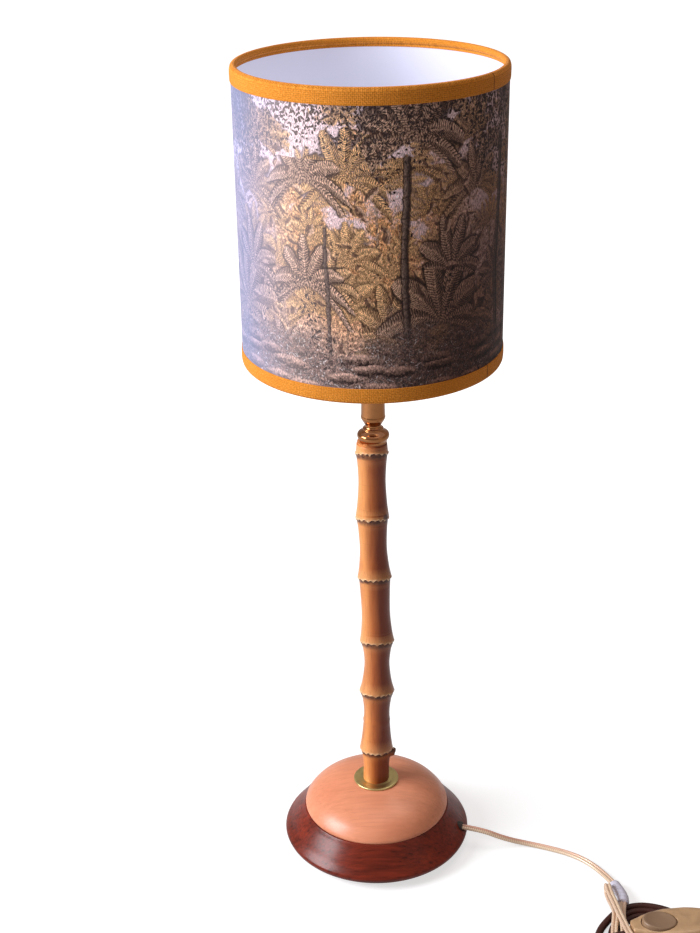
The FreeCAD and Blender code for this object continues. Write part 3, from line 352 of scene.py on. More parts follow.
def leaves():
    inputs = [("Vector", PLACE, None), ("PerMetre", NUMBER, 200.0), ("Width", NUMBER, 0.22),
              ("Turn", NUMBER, 0.0), ("Scatter", NUMBER, 3.0), ("Fill", NUMBER, 0.7)]
    return group("leaves", inputs, [("Mask", NUMBER), ("Light", NUMBER), ("Chance", NUMBER)], wire_leaves)


def wire_canes(tree, given):
    """Slender upright stems, gently bent, with joints."""
    split = put(tree, "ShaderNodeSeparateXYZ", {0: given["Vector"]})
    sway = speckle(tree, stretched(tree, given["Vector"], (3.0, 9.0, 1.0)), 1.0, 1.0)
    moved = calc(tree, "MULTIPLY_ADD", sway, 0.016, split.outputs[0])
    column = calc(tree, "MULTIPLY", moved, given["PerMetre"])
    number = calc(tree, "FLOOR", column)
    chance = put(tree, "ShaderNodeTexWhiteNoise", {"W": number}, noise_dimensions="1D").outputs["Value"]
    centre = calc(tree, "MULTIPLY_ADD", chance, 0.5, 0.25)
    off = calc(tree, "ABSOLUTE", calc(tree, "SUBTRACT", calc(tree, "FRACT", column), centre))
    distance = calc(tree, "DIVIDE", off, given["PerMetre"])
    thick = calc(tree, "MULTIPLY", given["Thickness"], calc(tree, "MULTIPLY_ADD", chance, 0.8, 0.5))
    body = spread(tree, calc(tree, "SUBTRACT", thick, distance), 0.0, 0.0005)
    top = calc(tree, "MULTIPLY_ADD", chance, 0.09, given["Top"])
    below = spread(tree, calc(tree, "SUBTRACT", top, split.outputs[1]), 0.0, 0.002)
    there = calc(tree, "LESS_THAN", chance, given["Fill"])
    mask = calc(tree, "MULTIPLY", calc(tree, "MULTIPLY", body, below), there)
    light = calc(tree, "SUBTRACT", calc(tree, "FRACT", column), centre)
    light = spread(tree, calc(tree, "DIVIDE", light, given["PerMetre"]), -0.002, 0.002, 1.0, 0.0)
    joint = calc(tree, "FRACT", calc(tree, "MULTIPLY_ADD", split.outputs[1], 70.0, chance))
    light = calc(tree, "MULTIPLY", light, spread(tree, joint, 0.0, 0.12, 0.2, 1.0))
    edge = spread(tree, calc(tree, "SUBTRACT", calc(tree, "MULTIPLY", thick, 1.5), distance), 0.0, 0.0006)
    bed = calc(tree, "MULTIPLY", calc(tree, "MULTIPLY", edge, below), there)
    return {"Mask": mask, "Light": light, "Bed": bed}


def canes():
    inputs = [("Vector", PLACE, None), ("PerMetre", NUMBER, 40.0), ("Thickness", NUMBER, 0.0014),
              ("Top", NUMBER, 0.11), ("Fill", NUMBER, 0.6)]
    return group("canes", inputs, [("Mask", NUMBER), ("Light", NUMBER), ("Bed", NUMBER)], wire_canes)


def finish(name, **shader_values):
    """New material with its tree and Principled shader."""
    material = bpy.data.materials.new(name)
    material.use_nodes = True
    tree = material.node_tree
    shader = tree.nodes["Principled BSDF"]
    for key, value in shader_values.items():
        shader.inputs[key.replace("_", " ")].default_value = value
    return material, tree, shader


def feed(tree, shader, **sockets):
    for key, socket in sockets.items():
        tree.links.new(socket, shader.inputs[key.replace("_", " ")])


def tints():
    return bpy.context.scene.lamp_colours


def sizes():
    return bpy.context.scene.lamp_sizes


def varied(name, colour, roughness, sheen=0.12, **shader_values):
    """Plain moulded or painted surface with faint smears, dust and a little unevenness."""
    material, tree, shader = finish(name, **shader_values)
    place = own_place(tree)
    marks = use(tree, handling(), {"Vector": place})
    slow = speckle(tree, place, 45.0, 2.0)
    dark = [c * (1 - sheen) for c in colour]
    pale = [min(1.0, c * (1 + sheen)) for c in colour]
    base = tone(tree, slow, dark, pale)
    base = tone(tree, calc(tree, "MULTIPLY", marks["Dust"], 0.25), base, [min(1.0, c + 0.12) for c in colour])
    feed(tree, shader, Base_Color=base,
         Roughness=spread(tree, marks["Smear"], 0.0, 1.0, roughness * 0.85, min(1.0, roughness * 1.2)),
         Normal=relief(tree, speckle(tree, place, 1500.0, 2.0), 0.00004, 0.35))
    return material


def metal(name, colour, roughness, brushed=0.0, tarnish=0.0, turned_axis=True):
    """Metal with turning lines, smears and, where it is old, darker patches."""
    material, tree, shader = finish(name, Metallic=1.0)
    place = own_place(tree)
    marks = use(tree, handling(), {"Vector": place})
    patches = spread(tree, speckle(tree, place, 120.0, 4.0, 0.65), 0.45, 0.75, 0.0, 1.0, True)
    old = [colour[0] * 0.55, colour[1] * 0.5, colour[2] * 0.5]
    base = tone(tree, calc(tree, "MULTIPLY", patches, tarnish), colour, old)
    lines = (90.0, 90.0, 2600.0) if turned_axis else (90.0, 2600.0, 2600.0)
    scratch = speckle(tree, stretched(tree, place, lines), 1.0, 2.0)
    rough = spread(tree, marks["Smear"], 0.0, 1.0, roughness * 0.8, roughness * 1.35)
    rough = calc(tree, "MULTIPLY_ADD", patches, 0.2 * tarnish, rough)
    feed(tree, shader, Base_Color=base, Roughness=rough,
         Normal=relief(tree, scratch, 0.00003, 0.15 + brushed))
    return material


def felt_finish():
    material, tree, shader = finish("felt", Sheen_Weight=0.4, Sheen_Roughness=0.6)
    place = own_place(tree)
    fibres = speckle(tree, place, 1400.0, 4.0, 0.7, 1.5)
    feed(tree, shader, Base_Color=tone(tree, fibres, (0.045, 0.036, 0.030), (0.14, 0.12, 0.10)),
         Roughness=spread(tree, fibres, 0.0, 1.0, 0.85, 1.0), Normal=relief(tree, fibres, 0.0004, 0.8))
    return material


def mahogany_finish():
    """Dark turned wood under a worn gloss."""
    material, tree, shader = finish("mahogany", Coat_Roughness=0.28, Specular_IOR_Level=0.06)
    place = own_place(tree)
    grain = use(tree, wood_grain(), {"Vector": place, "Fineness": 0.7})
    marks = use(tree, handling(), {"Vector": place})
    deep = tints().mahogany
    warm = (deep[0] * 2.6, deep[1] * 2.2, deep[2] * 1.6)
    base = tone(tree, spread(tree, grain["Grain"], 0.35, 0.85), [c * 0.45 for c in deep], warm)
    base = tone(tree, calc(tree, "MULTIPLY", grain["Pores"], 0.6), base, [c * 0.25 for c in deep])
    scuff = spread(tree, speckle(tree, place, 70.0, 6.0, 0.72, 0.5), 0.62, 0.72, 0.0, 0.5, True)
    base = tone(tree, scuff, base, (0.17, 0.055, 0.032))
    feed(tree, shader, Base_Color=base,
         Roughness=spread(tree, marks["Smear"], 0.0, 1.0, 0.22, 0.42),
         Coat_Weight=spread(tree, scuff, 0.0, 0.5, 0.42, 0.12),
         Normal=relief(tree, grain["Grain"], 0.00025, 0.35))
    return material


def terracotta_finish():
    """Orange-brown dome under a soft satin varnish."""
    material, tree, shader = finish("terracotta wood", Coat_Roughness=0.27, Specular_IOR_Level=0.2)
    place = own_place(tree)
    grain = use(tree, wood_grain(), {"Vector": place, "Fineness": 0.45})
    marks = use(tree, handling(), {"Vector": place})
    colour = tints().terracotta
    pale = (min(1.0, colour[0] * 1.16), colour[1] * 1.25, colour[2] * 1.35)
    base = tone(tree, spread(tree, grain["Grain"], 0.3, 0.8), [c * 0.82 for c in colour], pale)
    blotch = spread(tree, speckle(tree, place, 22.0, 3.0, 0.5), 0.45, 0.75, 0.0, 0.45, True)
    base = tone(tree, blotch, base, (colour[0] * 0.8, colour[1] * 0.68, colour[2] * 0.66))
    base = tone(tree, calc(tree, "MULTIPLY", grain["Pores"], 0.12), base, [c * 0.5 for c in colour])
    feed(tree, shader, Base_Color=base,
         Roughness=spread(tree, marks["Smear"], 0.0, 1.0, 0.36, 0.5),
         Coat_Weight=spread(tree, marks["Smear"], 0.0, 1.0, 0.60, 0.30),
         Normal=relief(tree, grain["Grain"], 0.0002, 0.2))
    return material


def bamboo_finish():
    """Glossy cane with fine fibres, scorched under each joint and pale on each rim, with painted light: a paler left
    side, a deeper right side and a painted highlight on the flares.
    """
    material, tree, shader = finish("bamboo", Coat_Roughness=0.30, Coat_Weight=0.50, Specular_IOR_Level=0.15)
    place = own_place(tree)
    fibre = speckle(tree, stretched(tree, place, (900.0, 900.0, 22.0)), 1.0, 4.0, 0.6)
    cloud = speckle(tree, stretched(tree, place, (70.0, 70.0, 12.0)), 1.0, 3.0, 0.55, 0.2)
    rings = speckle(tree, stretched(tree, place, (10.0, 10.0, 700.0)), 1.0, 2.0)
    pale = tints().cane_pale
    deep = tints().cane_deep
    # Painted light and shade: the cane's right side, away from the window light, is painted a deeper brown and its left
    # side, towards it, a paler honey colour
    side = put(tree, "ShaderNodeSeparateXYZ", {0: place}).outputs[0]
    share = calc(tree, "ADD", spread(tree, cloud, 0.32, 0.68, 0.0, 0.6, True),
                 spread(tree, side, -0.004, 0.008, 0.0, 0.9, True), clamp=True)
    base = tone(tree, share, pale, deep)
    # Painted light: the left side, which faces the window light, is painted honey-coloured
    painted_left_light = calc(tree, "MULTIPLY", spread(tree, side, -0.010, -0.001, 0.85, 0.0, True),
                 spread(tree, cloud, 0.45, 0.70, 1.0, 0.45))
    base = tone(tree, painted_left_light, base, (0.84, 0.34, 0.10))
    # Painted highlight: the flares next to each joint, whose flaring foot faces up to the light, are painted paler
    flare_highlight = kept_value(tree, "flare_highlight")
    base = tone(tree, calc(tree, "MULTIPLY", flare_highlight, 0.75), base, (0.86, 0.43, 0.17))
    base = tone(tree, spread(tree, fibre, 0.5, 0.8, 0.0, 0.35), base, [c * 0.55 for c in deep])
    base = tone(tree, spread(tree, rings, 0.6, 0.75, 0.0, 0.2), base, [c * 0.6 for c in deep])
    band = kept_value(tree, "band")
    ragged = calc(tree, "MULTIPLY", band, spread(tree, speckle(tree, place, 260.0, 3.0), 0.3, 0.56, 0.5, 1.0))
    base = tone(tree, ragged, base, (0.075, 0.020, 0.010))
    rim = kept_value(tree, "rim")
    worn = calc(tree, "MULTIPLY", rim, spread(tree, speckle(tree, place, 330.0, 2.0), 0.36, 0.58, 0.15, 1.0))
    base = tone(tree, worn, base, (0.88, 0.64, 0.38))
    scar = kept_value(tree, "scar")
    base = tone(tree, scar, base, (0.12, 0.085, 0.085))
    feed(tree, shader, Base_Color=base,
         Roughness=spread(tree, cloud, 0.3, 0.7, 0.30, 0.46),
         Normal=relief(tree, fibre, 0.0002, 0.22))
    return material


def moved_over(tree, vector, x, y):
    return stretched(tree, vector, (1.0, 1.0, 1.0), shift=(x, y, 0.0))


def inked(tree, colour, drawn, ink, depth, dark, pale, weight=1.0):
    """Lay drawn plants over the colours behind them, in a dark bed that parts them from what is behind."""
    if "Bed" in drawn:
        colour = tone(tree, calc(tree, "MULTIPLY", drawn["Bed"], depth), colour, ink)
    plant = tone(tree, drawn["Light"], dark, pale)
    return tone(tree, calc(tree, "MULTIPLY", drawn["Mask"], weight), colour, plant)


def print_finish():
    """Fabric printed all over with ferns, canes and small leaves, drawn here for this shade."""
    material, tree, shader = finish("printed fabric", Specular_IOR_Level=0.2)
    flat = own_uv(tree)
    split = put(tree, "ShaderNodeSeparateXYZ", {0: flat})
    height = split.outputs[1]
    # The cloth starts and ends at its upright seam
    past = calc(tree, "GREATER_THAN", split.outputs[0], 0.1246)
    across = calc(tree, "MULTIPLY_ADD", past, -math.tau * 0.1, split.outputs[0])
    cloth_place = put(tree, "ShaderNodeCombineXYZ", {0: across, 1: height}).outputs[0]
    wander = put(tree, "ShaderNodeTexNoise", {"Vector": cloth_place, "Scale": 150.0, "Detail": 5.0,
                                              "Roughness": 0.62})
    shaken = put(tree, "ShaderNodeVectorMath", {0: wander.outputs["Color"], 1: (0.5, 0.5, 0.5)},
                 operation="SUBTRACT")
    small = put(tree, "ShaderNodeVectorMath", {0: shaken.outputs[0], "Scale": 0.0044}, operation="SCALE")
    drawn = put(tree, "ShaderNodeVectorMath", {0: cloth_place, 1: small.outputs[0]}, operation="ADD").outputs[0]
    haze = tints().haze
    ochre = tints().ochre
    umber = tints().umber
    ink = [c * 0.7 for c in umber]
    deep_ochre = (0.25, 0.120, 0.068)
    # Where the print is gold, and how much painted shade darkens it towards the right
    off_x = calc(tree, "MULTIPLY", calc(tree, "ADD", across, 0.014), calc(tree, "ADD", across, 0.014))
    off_y = calc(tree, "MULTIPLY", calc(tree, "SUBTRACT", height, 0.13), calc(tree, "SUBTRACT", height, 0.13))
    off = calc(tree, "SQRT", calc(tree, "MULTIPLY_ADD", off_y, 0.6, off_x))
    cloud = speckle(tree, stretched(tree, cloth_place, (15.0, 9.0, 1.0), shift=(0.4, 0.3, 0.0)), 1.0, 2.0)
    glow = calc(tree, "MAXIMUM", spread(tree, off, 0.03, 0.105, 1.0, 0.0, True),
                spread(tree, cloud, 0.50, 0.68, 0.0, 0.8, True))
    # Painted shade: how far the print is darkened towards its right, away from the window light
    swing = calc(tree, "COSINE", calc(tree, "MULTIPLY", calc(tree, "SUBTRACT", across, 0.14), 10.0))
    painted_shade_right = calc(tree, "MULTIPLY_ADD", swing, 0.5, 0.5)
    painted_shade_right = calc(tree, "MULTIPLY_ADD", spread(tree, height, 0.02, 0.20, 0.22, -0.05), 1.0, painted_shade_right)
    painted_shade_right = spread(tree, painted_shade_right, 0.66, 1.14, 0.0, 1.0, True)
    # Hazy sky and soft far growth
    sky = tone(tree, spread(tree, height, 0.05, 0.22), (0.78, 0.60, 0.57), haze)
    mass = speckle(tree, drawn, 24.0, 6.0, 0.66)
    leafy = speckle(tree, drawn, 420.0, 5.0, 0.78, 0.5)
    lower = spread(tree, height, 0.03, 0.19, 1.0, -0.05, True)
    cover = spread(tree, calc(tree, "MULTIPLY_ADD", lower, 0.30, mass), 0.50, 0.60, 0.0, 1.0, True)
    far = tone(tree, spread(tree, leafy, 0.38, 0.60), (0.30, 0.195, 0.175), (0.88, 0.70, 0.64))
    far_gold = tone(tree, spread(tree, leafy, 0.38, 0.60), deep_ochre, ochre)
    colour = tone(tree, cover, sky, tone(tree, glow, far, far_gold))
    # Far canes, then layers of ferns that come nearer, larger and darker
    stems = use(tree, canes(), {"Vector": drawn, "PerMetre": 52.0, "Thickness": 0.0010, "Top": 0.12, "Fill": 0.6})
    colour = inked(tree, colour, stems, ink, 0.45, deep_ochre, (0.74, 0.60, 0.48), 0.85)
    layers = (
        (34.0, 0.021, 0.13, 0.4, 15.0, 900.0, 0.80, (0.11, 0.03), 1.0, 0.40),
        (25.0, 0.031, 0.12, 0.7, 15.0, 720.0, 0.76, (0.43, 0.31), 1.0, 0.55),
        (18.0, 0.042, 0.11, 0.8, 15.0, 600.0, 0.62, (0.77, 0.19), 0.8, 0.75),
        (13.5, 0.056, 0.105, 0.9, 14.0, 500.0, 0.46, (0.29, 0.57), 0.3, 0.88),
    )
    room = spread(tree, height, 0.125, 0.205, 1.0, 0.35, True)
    for cells, reach, width, droop, count, leaflets, fill, shift, warmth, depth in layers:
        ferns = use(tree, fronds(), {"Vector": moved_over(tree, drawn, *shift), "Cells": cells, "Reach": reach,
                                     "Width": width, "Droop": droop, "Count": count, "Leaflets": leaflets,
                                     "Fill": calc(tree, "MULTIPLY", room, fill)})
        warm = calc(tree, "MULTIPLY_ADD", ferns["Chance"], 0.45 * warmth, calc(tree, "MULTIPLY", glow, warmth),
                    clamp=True)
        dark = tone(tree, warm, umber, (0.13, 0.062, 0.035))
        pale = tone(tree, warm, (0.78, 0.58, 0.50), (1.0, 0.69, 0.40))
        colour = inked(tree, colour, ferns, ink, depth, dark, pale)
        bough = use(tree, leaves(), {"Vector": moved_over(tree, drawn, shift[1], shift[0]), "PerMetre": 5.2 * cells,
                                     "Width": 0.24, "Turn": 1.2, "Scatter": 2.6,
                                     "Fill": spread(tree, mass, 0.44, 0.66, 0.0, 0.6)})
        colour = inked(tree, colour, bough, ink, depth, [c * 1.6 for c in umber], pale, 0.8)
    # Dark near stems
    near = use(tree, canes(), {"Vector": moved_over(tree, drawn, 0.21, 0.0), "PerMetre": 23.0,
                               "Thickness": 0.0024, "Top": 0.13, "Fill": 0.6})
    colour = inked(tree, colour, near, ink, 0.8, ink, (0.36, 0.27, 0.225))
    # Thick small growth and stones along the foot
    thick = calc(tree, "MULTIPLY_ADD", speckle(tree, stretched(tree, drawn, (14.0, 20.0, 1.0)), 1.0, 3.0), 0.8,
                 spread(tree, height, 0.0, 0.11, 0.50, -0.05))
    growth = tone(tree, spread(tree, leafy, 0.40, 0.60), (0.11, 0.072, 0.066), (0.48, 0.345, 0.30))
    for per_metre, turn, lift in ((230.0, 1.9, 0.0), (310.0, 1.2, 0.4), (420.0, 1.57, 0.8)):
        bush = use(tree, leaves(), {"Vector": moved_over(tree, drawn, lift, lift), "PerMetre": per_metre,
                                    "Width": 0.24, "Turn": turn, "Scatter": 4.2, "Fill": 0.5})
        lit = calc(tree, "MULTIPLY", bush["Light"], bush["Chance"])
        growth = tone(tree, bush["Mask"], growth, tone(tree, lit, (0.12, 0.092, 0.085), (0.86, 0.80, 0.78)))
    colour = tone(tree, spread(tree, thick, 0.58, 0.74, 0.0, 0.9, True), colour, growth)
    stones = put(tree, "ShaderNodeTexVoronoi", {"Vector": stretched(tree, drawn, (32.0, 96.0, 1.0)), "Scale": 1.0},
                 voronoi_dimensions="2D")
    stone_place = put(tree, "ShaderNodeVectorMath", {0: stretched(tree, drawn, (32.0, 96.0, 1.0)),
                                                     1: stones.outputs["Position"]}, operation="SUBTRACT")
    stone_up = put(tree, "ShaderNodeSeparateXYZ", {0: stone_place.outputs[0]}).outputs[1]
    stone_lit = calc(tree, "MULTIPLY_ADD", spread(tree, leafy, 0.35, 0.65, -0.4, 0.4), 1.0,
                     spread(tree, stone_up, -0.25, 0.35), clamp=True)
    stone_shape = spread(tree, calc(tree, "MULTIPLY_ADD", leafy, 0.3, stones.outputs["Distance"]), 0.50, 0.62, 1.0, 0.0)
    bank = spread(tree, calc(tree, "MULTIPLY_ADD", mass, 0.06, height), 0.060, 0.076, 1.0, 0.0, True)
    stone = tone(tree, stone_lit, ink, (0.70, 0.50, 0.42))
    colour = tone(tree, calc(tree, "MULTIPLY", stone_shape, bank), colour, stone)
    # Leaves that hang from above
    hang = calc(tree, "MULTIPLY_ADD", speckle(tree, stretched(tree, drawn, (20.0, 9.0, 1.0)), 1.0, 3.0), 2.6,
                spread(tree, height, 0.15, 0.225, -1.45, -0.35))
    colour = tone(tree, spread(tree, hang, 0.65, 1.1, 0.0, 0.75, True), colour, (0.10, 0.068, 0.062))
    for per_metre, turn, lift in ((230.0, 1.9, 0.5), (300.0, 1.2, 0.9), (390.0, 1.6, 0.3)):
        above = use(tree, leaves(), {"Vector": moved_over(tree, drawn, lift, lift), "PerMetre": per_metre,
                                     "Width": 0.25, "Turn": turn, "Scatter": 2.4, "Fill": hang})
        colour = inked(tree, colour, above, ink, 0.0, ink, (0.24, 0.185, 0.165))
    # Strokes of the ink, then painted shade to the right and painted pale blue light to the left
    stroke = speckle(tree, stretched(tree, drawn, (1500.0, 420.0, 1.0)), 1.0, 3.0, 0.7)
    strokes = spread(tree, stroke, 0.38, 0.62, 0.42, 1.38)
    colour = tone(tree, 1.0, colour, put(tree, "ShaderNodeCombineXYZ", {0: strokes, 1: strokes, 2: strokes}).outputs[0],
                  "MULTIPLY")
    colour = put(tree, "ShaderNodeGamma", {0: colour, 1: 1.35}).outputs[0]
    colour = tone(tree, 1.0, colour, (1.26, 1.26, 1.30), "MULTIPLY")
    # Painted shade: the right of the print is multiplied darker
    colour = tone(tree, painted_shade_right, colour, tone(tree, 1.0, colour, (0.30, 0.235, 0.225), "MULTIPLY"))
    # Painted light: the left of the print is paled and turned blue, as if lit by the window
    painted_light_left = calc(tree, "MULTIPLY", spread(tree, across, -0.135, -0.005, 0.42, 0.0, True),
                     spread(tree, across, -0.34, -0.20, 0.0, 1.0, True))
    painted_blue_light_left = spread(tree, painted_light_left, 0.16, 0.40)
    colour = tone(tree, painted_blue_light_left, colour, tone(tree, 1.0, colour, (0.62, 0.68, 0.90), "MULTIPLY"))
    colour = tone(tree, painted_light_left, colour, tone(tree, painted_blue_light_left, (0.84, 0.69, 0.70), (0.46, 0.50, 0.76)))
    cloth = use(tree, weave(), {"Vector": flat, "Pitch": 0.00055})
    height_map = calc(tree, "MULTIPLY_ADD", cloth["Slub"], 0.5, cloth["Height"])
    feed(tree, shader, Base_Color=colour, Roughness=spread(tree, cloth["Slub"], 0.2, 0.8, 0.55, 0.72),
         Normal=relief(tree, height_map, 0.00006, 0.5))
    return material


def lining_finish():
    material, tree, shader = finish("lining", Specular_IOR_Level=0.4)
    flat = own_uv(tree)
    cloth = use(tree, weave(), {"Vector": flat, "Pitch": 0.0006})
    slow = speckle(tree, flat, 9.0, 3.0, 0.5)
    colour = tints().lining
    # Daylight that comes through the cloth from outside
    shader.inputs["Emission Color"].default_value = (0.78, 0.80, 1.0, 1.0)
    shader.inputs["Emission Strength"].default_value = 0.40
    feed(tree, shader, Base_Color=tone(tree, slow, [c * 0.94 for c in colour], [min(1.0, c * 1.05) for c in colour]),
         Roughness=spread(tree, slow, 0.3, 0.7, 0.42, 0.55), Normal=relief(tree, cloth["Height"], 0.00003, 0.3))
    return material


def trim_finish():
    """Mustard tape of thick uneven threads."""
    material, tree, shader = finish("mustard trim", Sheen_Weight=0.08, Sheen_Roughness=0.4, Specular_IOR_Level=0.2)
    flat = own_uv(tree)
    cloth = use(tree, weave(), {"Vector": flat, "Pitch": 0.0013})
    fleck = speckle(tree, stretched(tree, flat, (900.0, 800.0, 1.0)), 1.0, 3.0, 0.7)
    slow = speckle(tree, flat, 30.0, 3.0)
    colour = tints().mustard
    # Painted shade and highlight: the hollows of the weave are painted darker and the crowns of its threads paler
    base = tone(tree, spread(tree, cloth["Height"], 0.0, 1.0), [c * 0.52 for c in colour],
                (min(1.0, colour[0] * 1.2), colour[1] * 1.28, colour[2] * 2.2))
    base = tone(tree, spread(tree, fleck, 0.50, 0.66, 0.0, 0.6), base, (1.0, 0.46, 0.09))
    base = tone(tree, spread(tree, fleck, 0.34, 0.48, 0.5, 0.0), base, [c * 0.45 for c in colour])
    base = tone(tree, spread(tree, slow, 0.4, 0.7, 0.0, 0.3), base, [c * 0.74 for c in colour])
    # The tape laps over its own start
    along = put(tree, "ShaderNodeSeparateXYZ", {0: flat}).outputs[0]
    off = calc(tree, "ABSOLUTE", calc(tree, "SUBTRACT", calc(tree, "MULTIPLY_ADD", fleck, 0.0012, along), 0.099))
    base = tone(tree, spread(tree, off, 0.0002, 0.0008, 0.8, 0.0), base, (0.13, 0.035, 0.008))
    height = calc(tree, "MULTIPLY_ADD", fleck, 0.6, cloth["Height"])
    feed(tree, shader, Base_Color=base, Roughness=spread(tree, fleck, 0.0, 1.0, 0.72, 0.95),
         Normal=relief(tree, height, 0.00022, 0.8))
    return material


def flex_finish():
    """Clear plastic over bright strands: gold, with the strands' lay just showing."""
    material, tree, shader = finish("gold flex", Coat_Roughness=0.30, Coat_Weight=0.5, Metallic=0.2)
    place = own_place(tree)
    along = kept_value(tree, "along")
    around = kept_value(tree, "around")
    lay = calc(tree, "SINE", calc(tree, "MULTIPLY_ADD", along, 3600.0, calc(tree, "MULTIPLY", around, math.tau)))
    colour = tints().flex
    base = tone(tree, spread(tree, lay, -1.0, 1.0), [c * 0.72 for c in colour],
                [min(1.0, c * 1.25) for c in colour])
    blush = speckle(tree, place, 24.0, 2.0)
    base = tone(tree, spread(tree, blush, 0.45, 0.7, 0.0, 0.30), base, (0.50, 0.25, 0.17))
    one_side = spread(tree, calc(tree, "SINE", calc(tree, "MULTIPLY", around, math.tau)), -0.2, 0.2, 0.0, 0.55)
    start = spread(tree, along, 0.05, 0.18, 1.0, 0.25)
    base = tone(tree, calc(tree, "MULTIPLY", one_side, start), base, (0.66, 0.27, 0.21))
    feed(tree, shader, Base_Color=base, Roughness=spread(tree, blush, 0.3, 0.7, 0.26, 0.40),
         Normal=relief(tree, lay, 0.00008, 0.25))
    return material


def lead_finish():
    material, tree, shader = finish("brown lead", Specular_IOR_Level=0.22)
    place = own_place(tree)
    marks = use(tree, handling(), {"Vector": place})
    slow = speckle(tree, place, 60.0, 3.0)
    colour = tints().lead
    base = tone(tree, slow, [c * 0.7 for c in colour], [c * 1.7 for c in colour])
    base = tone(tree, calc(tree, "MULTIPLY", marks["Dust"], 0.2), base, (0.16, 0.11, 0.09))
    feed(tree, shader, Base_Color=base, Roughness=spread(tree, marks["Smear"], 0.0, 1.0, 0.34, 0.5),
         Normal=relief(tree, speckle(tree, place, 700.0, 3.0), 0.00006, 0.3))
    return material


def tie_finish():
    """Pale tape wound in a spiral."""
    material, tree, shader = finish("tie wrap", Specular_IOR_Level=0.5)
    place = own_place(tree)
    winding = kept_value(tree, "winding")
    # Painted shade: each turn of the tape is painted darker along the groove where it meets the next
    edge = spread(tree, winding, 0.0, 0.16, 1.0, 0.0, True)
    base = tone(tree, edge, (0.58, 0.56, 0.66), (0.30, 0.28, 0.34))
    base = tone(tree, spread(tree, speckle(tree, place, 300.0, 2.0), 0.4, 0.7, 0.0, 0.4), base, (0.70, 0.69, 0.80))
    feed(tree, shader, Base_Color=base, Roughness=spread(tree, winding, 0.0, 1.0, 0.30, 0.42),
         Normal=relief(tree, speckle(tree, place, 500.0, 2.0), 0.0001, 0.3))
    return material


def switch_finish():
    """Satin gold moulding, a little rubbed."""
    material, tree, shader = finish("switch gold", Coat_Weight=0.25, Coat_Roughness=0.25, Metallic=0.15)
    place = own_place(tree)
    marks = use(tree, handling(), {"Vector": place})
    cloud = speckle(tree, place, 90.0, 4.0, 0.6, 0.5)
    colour = tints().switch
    base = tone(tree, spread(tree, cloud, 0.35, 0.7), [c * 0.84 for c in colour], [min(1.0, c * 1.15) for c in colour])
    base = tone(tree, calc(tree, "MULTIPLY", marks["Dust"], 0.3), base, (0.66, 0.55, 0.40))
    feed(tree, shader, Base_Color=base, Roughness=spread(tree, marks["Smear"], 0.0, 1.0, 0.30, 0.46),
         Normal=relief(tree, speckle(tree, place, 1200.0, 2.0), 0.00005, 0.3))
    return material


def glass_finish():
    material, tree, shader = finish("frosted glass", Transmission_Weight=0.55, Roughness=0.45, IOR=1.45)
    place = own_place(tree)
    frost = speckle(tree, place, 220.0, 3.0)
    feed(tree, shader, Base_Color=tone(tree, frost, (0.86, 0.85, 0.82), (0.96, 0.95, 0.93)),
         Roughness=spread(tree, frost, 0.3, 0.7, 0.38, 0.55), Normal=relief(tree, frost, 0.00004, 0.2))
    return material


def finish_for(slot):
    """The material of one of the record's slots, made when it is first asked for."""
    name = slot + " finish"
    made = bpy.data.materials.get(name)
    if made:
        return made
    own = {
        "felt": felt_finish,
        "mahogany": mahogany_finish,
        "terracotta_wood": terracotta_finish,
        "bamboo": bamboo_finish,
        "printed_fabric": print_finish,
        "lining_white": lining_finish,
        "mustard_trim": trim_finish,
        "gold_flex": flex_finish,
        "brown_lead": lead_finish,
        "tie_wrap": tie_finish,
        "switch_gold": switch_finish,
        "frosted_glass": glass_finish,
    }
    plain = {
        "dark_plastic": ((0.035, 0.026, 0.022), 0.5),
        "ceramic_white": ((0.83, 0.81, 0.76), 0.42),
        "core_insulation": ((0.12, 0.20, 0.42), 0.45),
        "white_wire": ((0.82, 0.82, 0.84), 0.38),
        "black_glass": ((0.012, 0.012, 0.014), 0.12),
        "rocker_brown": (tuple(tints().rocker), 0.34),
        "white_plastic": ((0.78, 0.77, 0.72), 0.5),
        "plug_brown": ((0.040, 0.013, 0.009), 0.42),
        "sleeve_black": ((0.015, 0.014, 0.014), 0.48),
    }
    metals = {
        "zinc_steel": ((0.60, 0.61, 0.63), 0.34, 0.1, 0.2),
        "brass_aged": ((0.60, 0.50, 0.22), 0.36, 0.0, 0.35),
        "brass_polished": (tuple(tints().brass), 0.15, 0.0, 0.25),
        "cap_aluminium": ((0.78, 0.78, 0.79), 0.30, 0.05, 0.1),
        "solder": ((0.52, 0.53, 0.55), 0.40, 0.0, 0.4),
        "spring_steel": ((0.48, 0.49, 0.51), 0.30, 0.0, 0.1),
        "contact_brass": ((0.75, 0.55, 0.25), 0.32, 0.1, 0.3),
        "nickel_pin": ((0.70, 0.68, 0.64), 0.20, 0.05, 0.1),
    }
    if slot in own:
        material = own[slot]()
    elif slot in plain:
        colour, roughness = plain[slot]
        material = varied(slot, colour, roughness)
    else:
        colour, roughness, brushed, tarnish = metals[slot]
        material = metal(slot, colour, roughness, brushed, tarnish)
    material.name = name
    return material


# Modelling


def clear_selection():
    if bpy.context.object and bpy.context.object.mode != "OBJECT":
        bpy.ops.object.mode_set(mode="OBJECT")
    bpy.ops.object.select_all(action="DESELECT")


def pick(piece, *more):
    clear_selection()
    for each in (piece, *more):
        each.select_set(True)
    bpy.context.view_layer.objects.active = piece


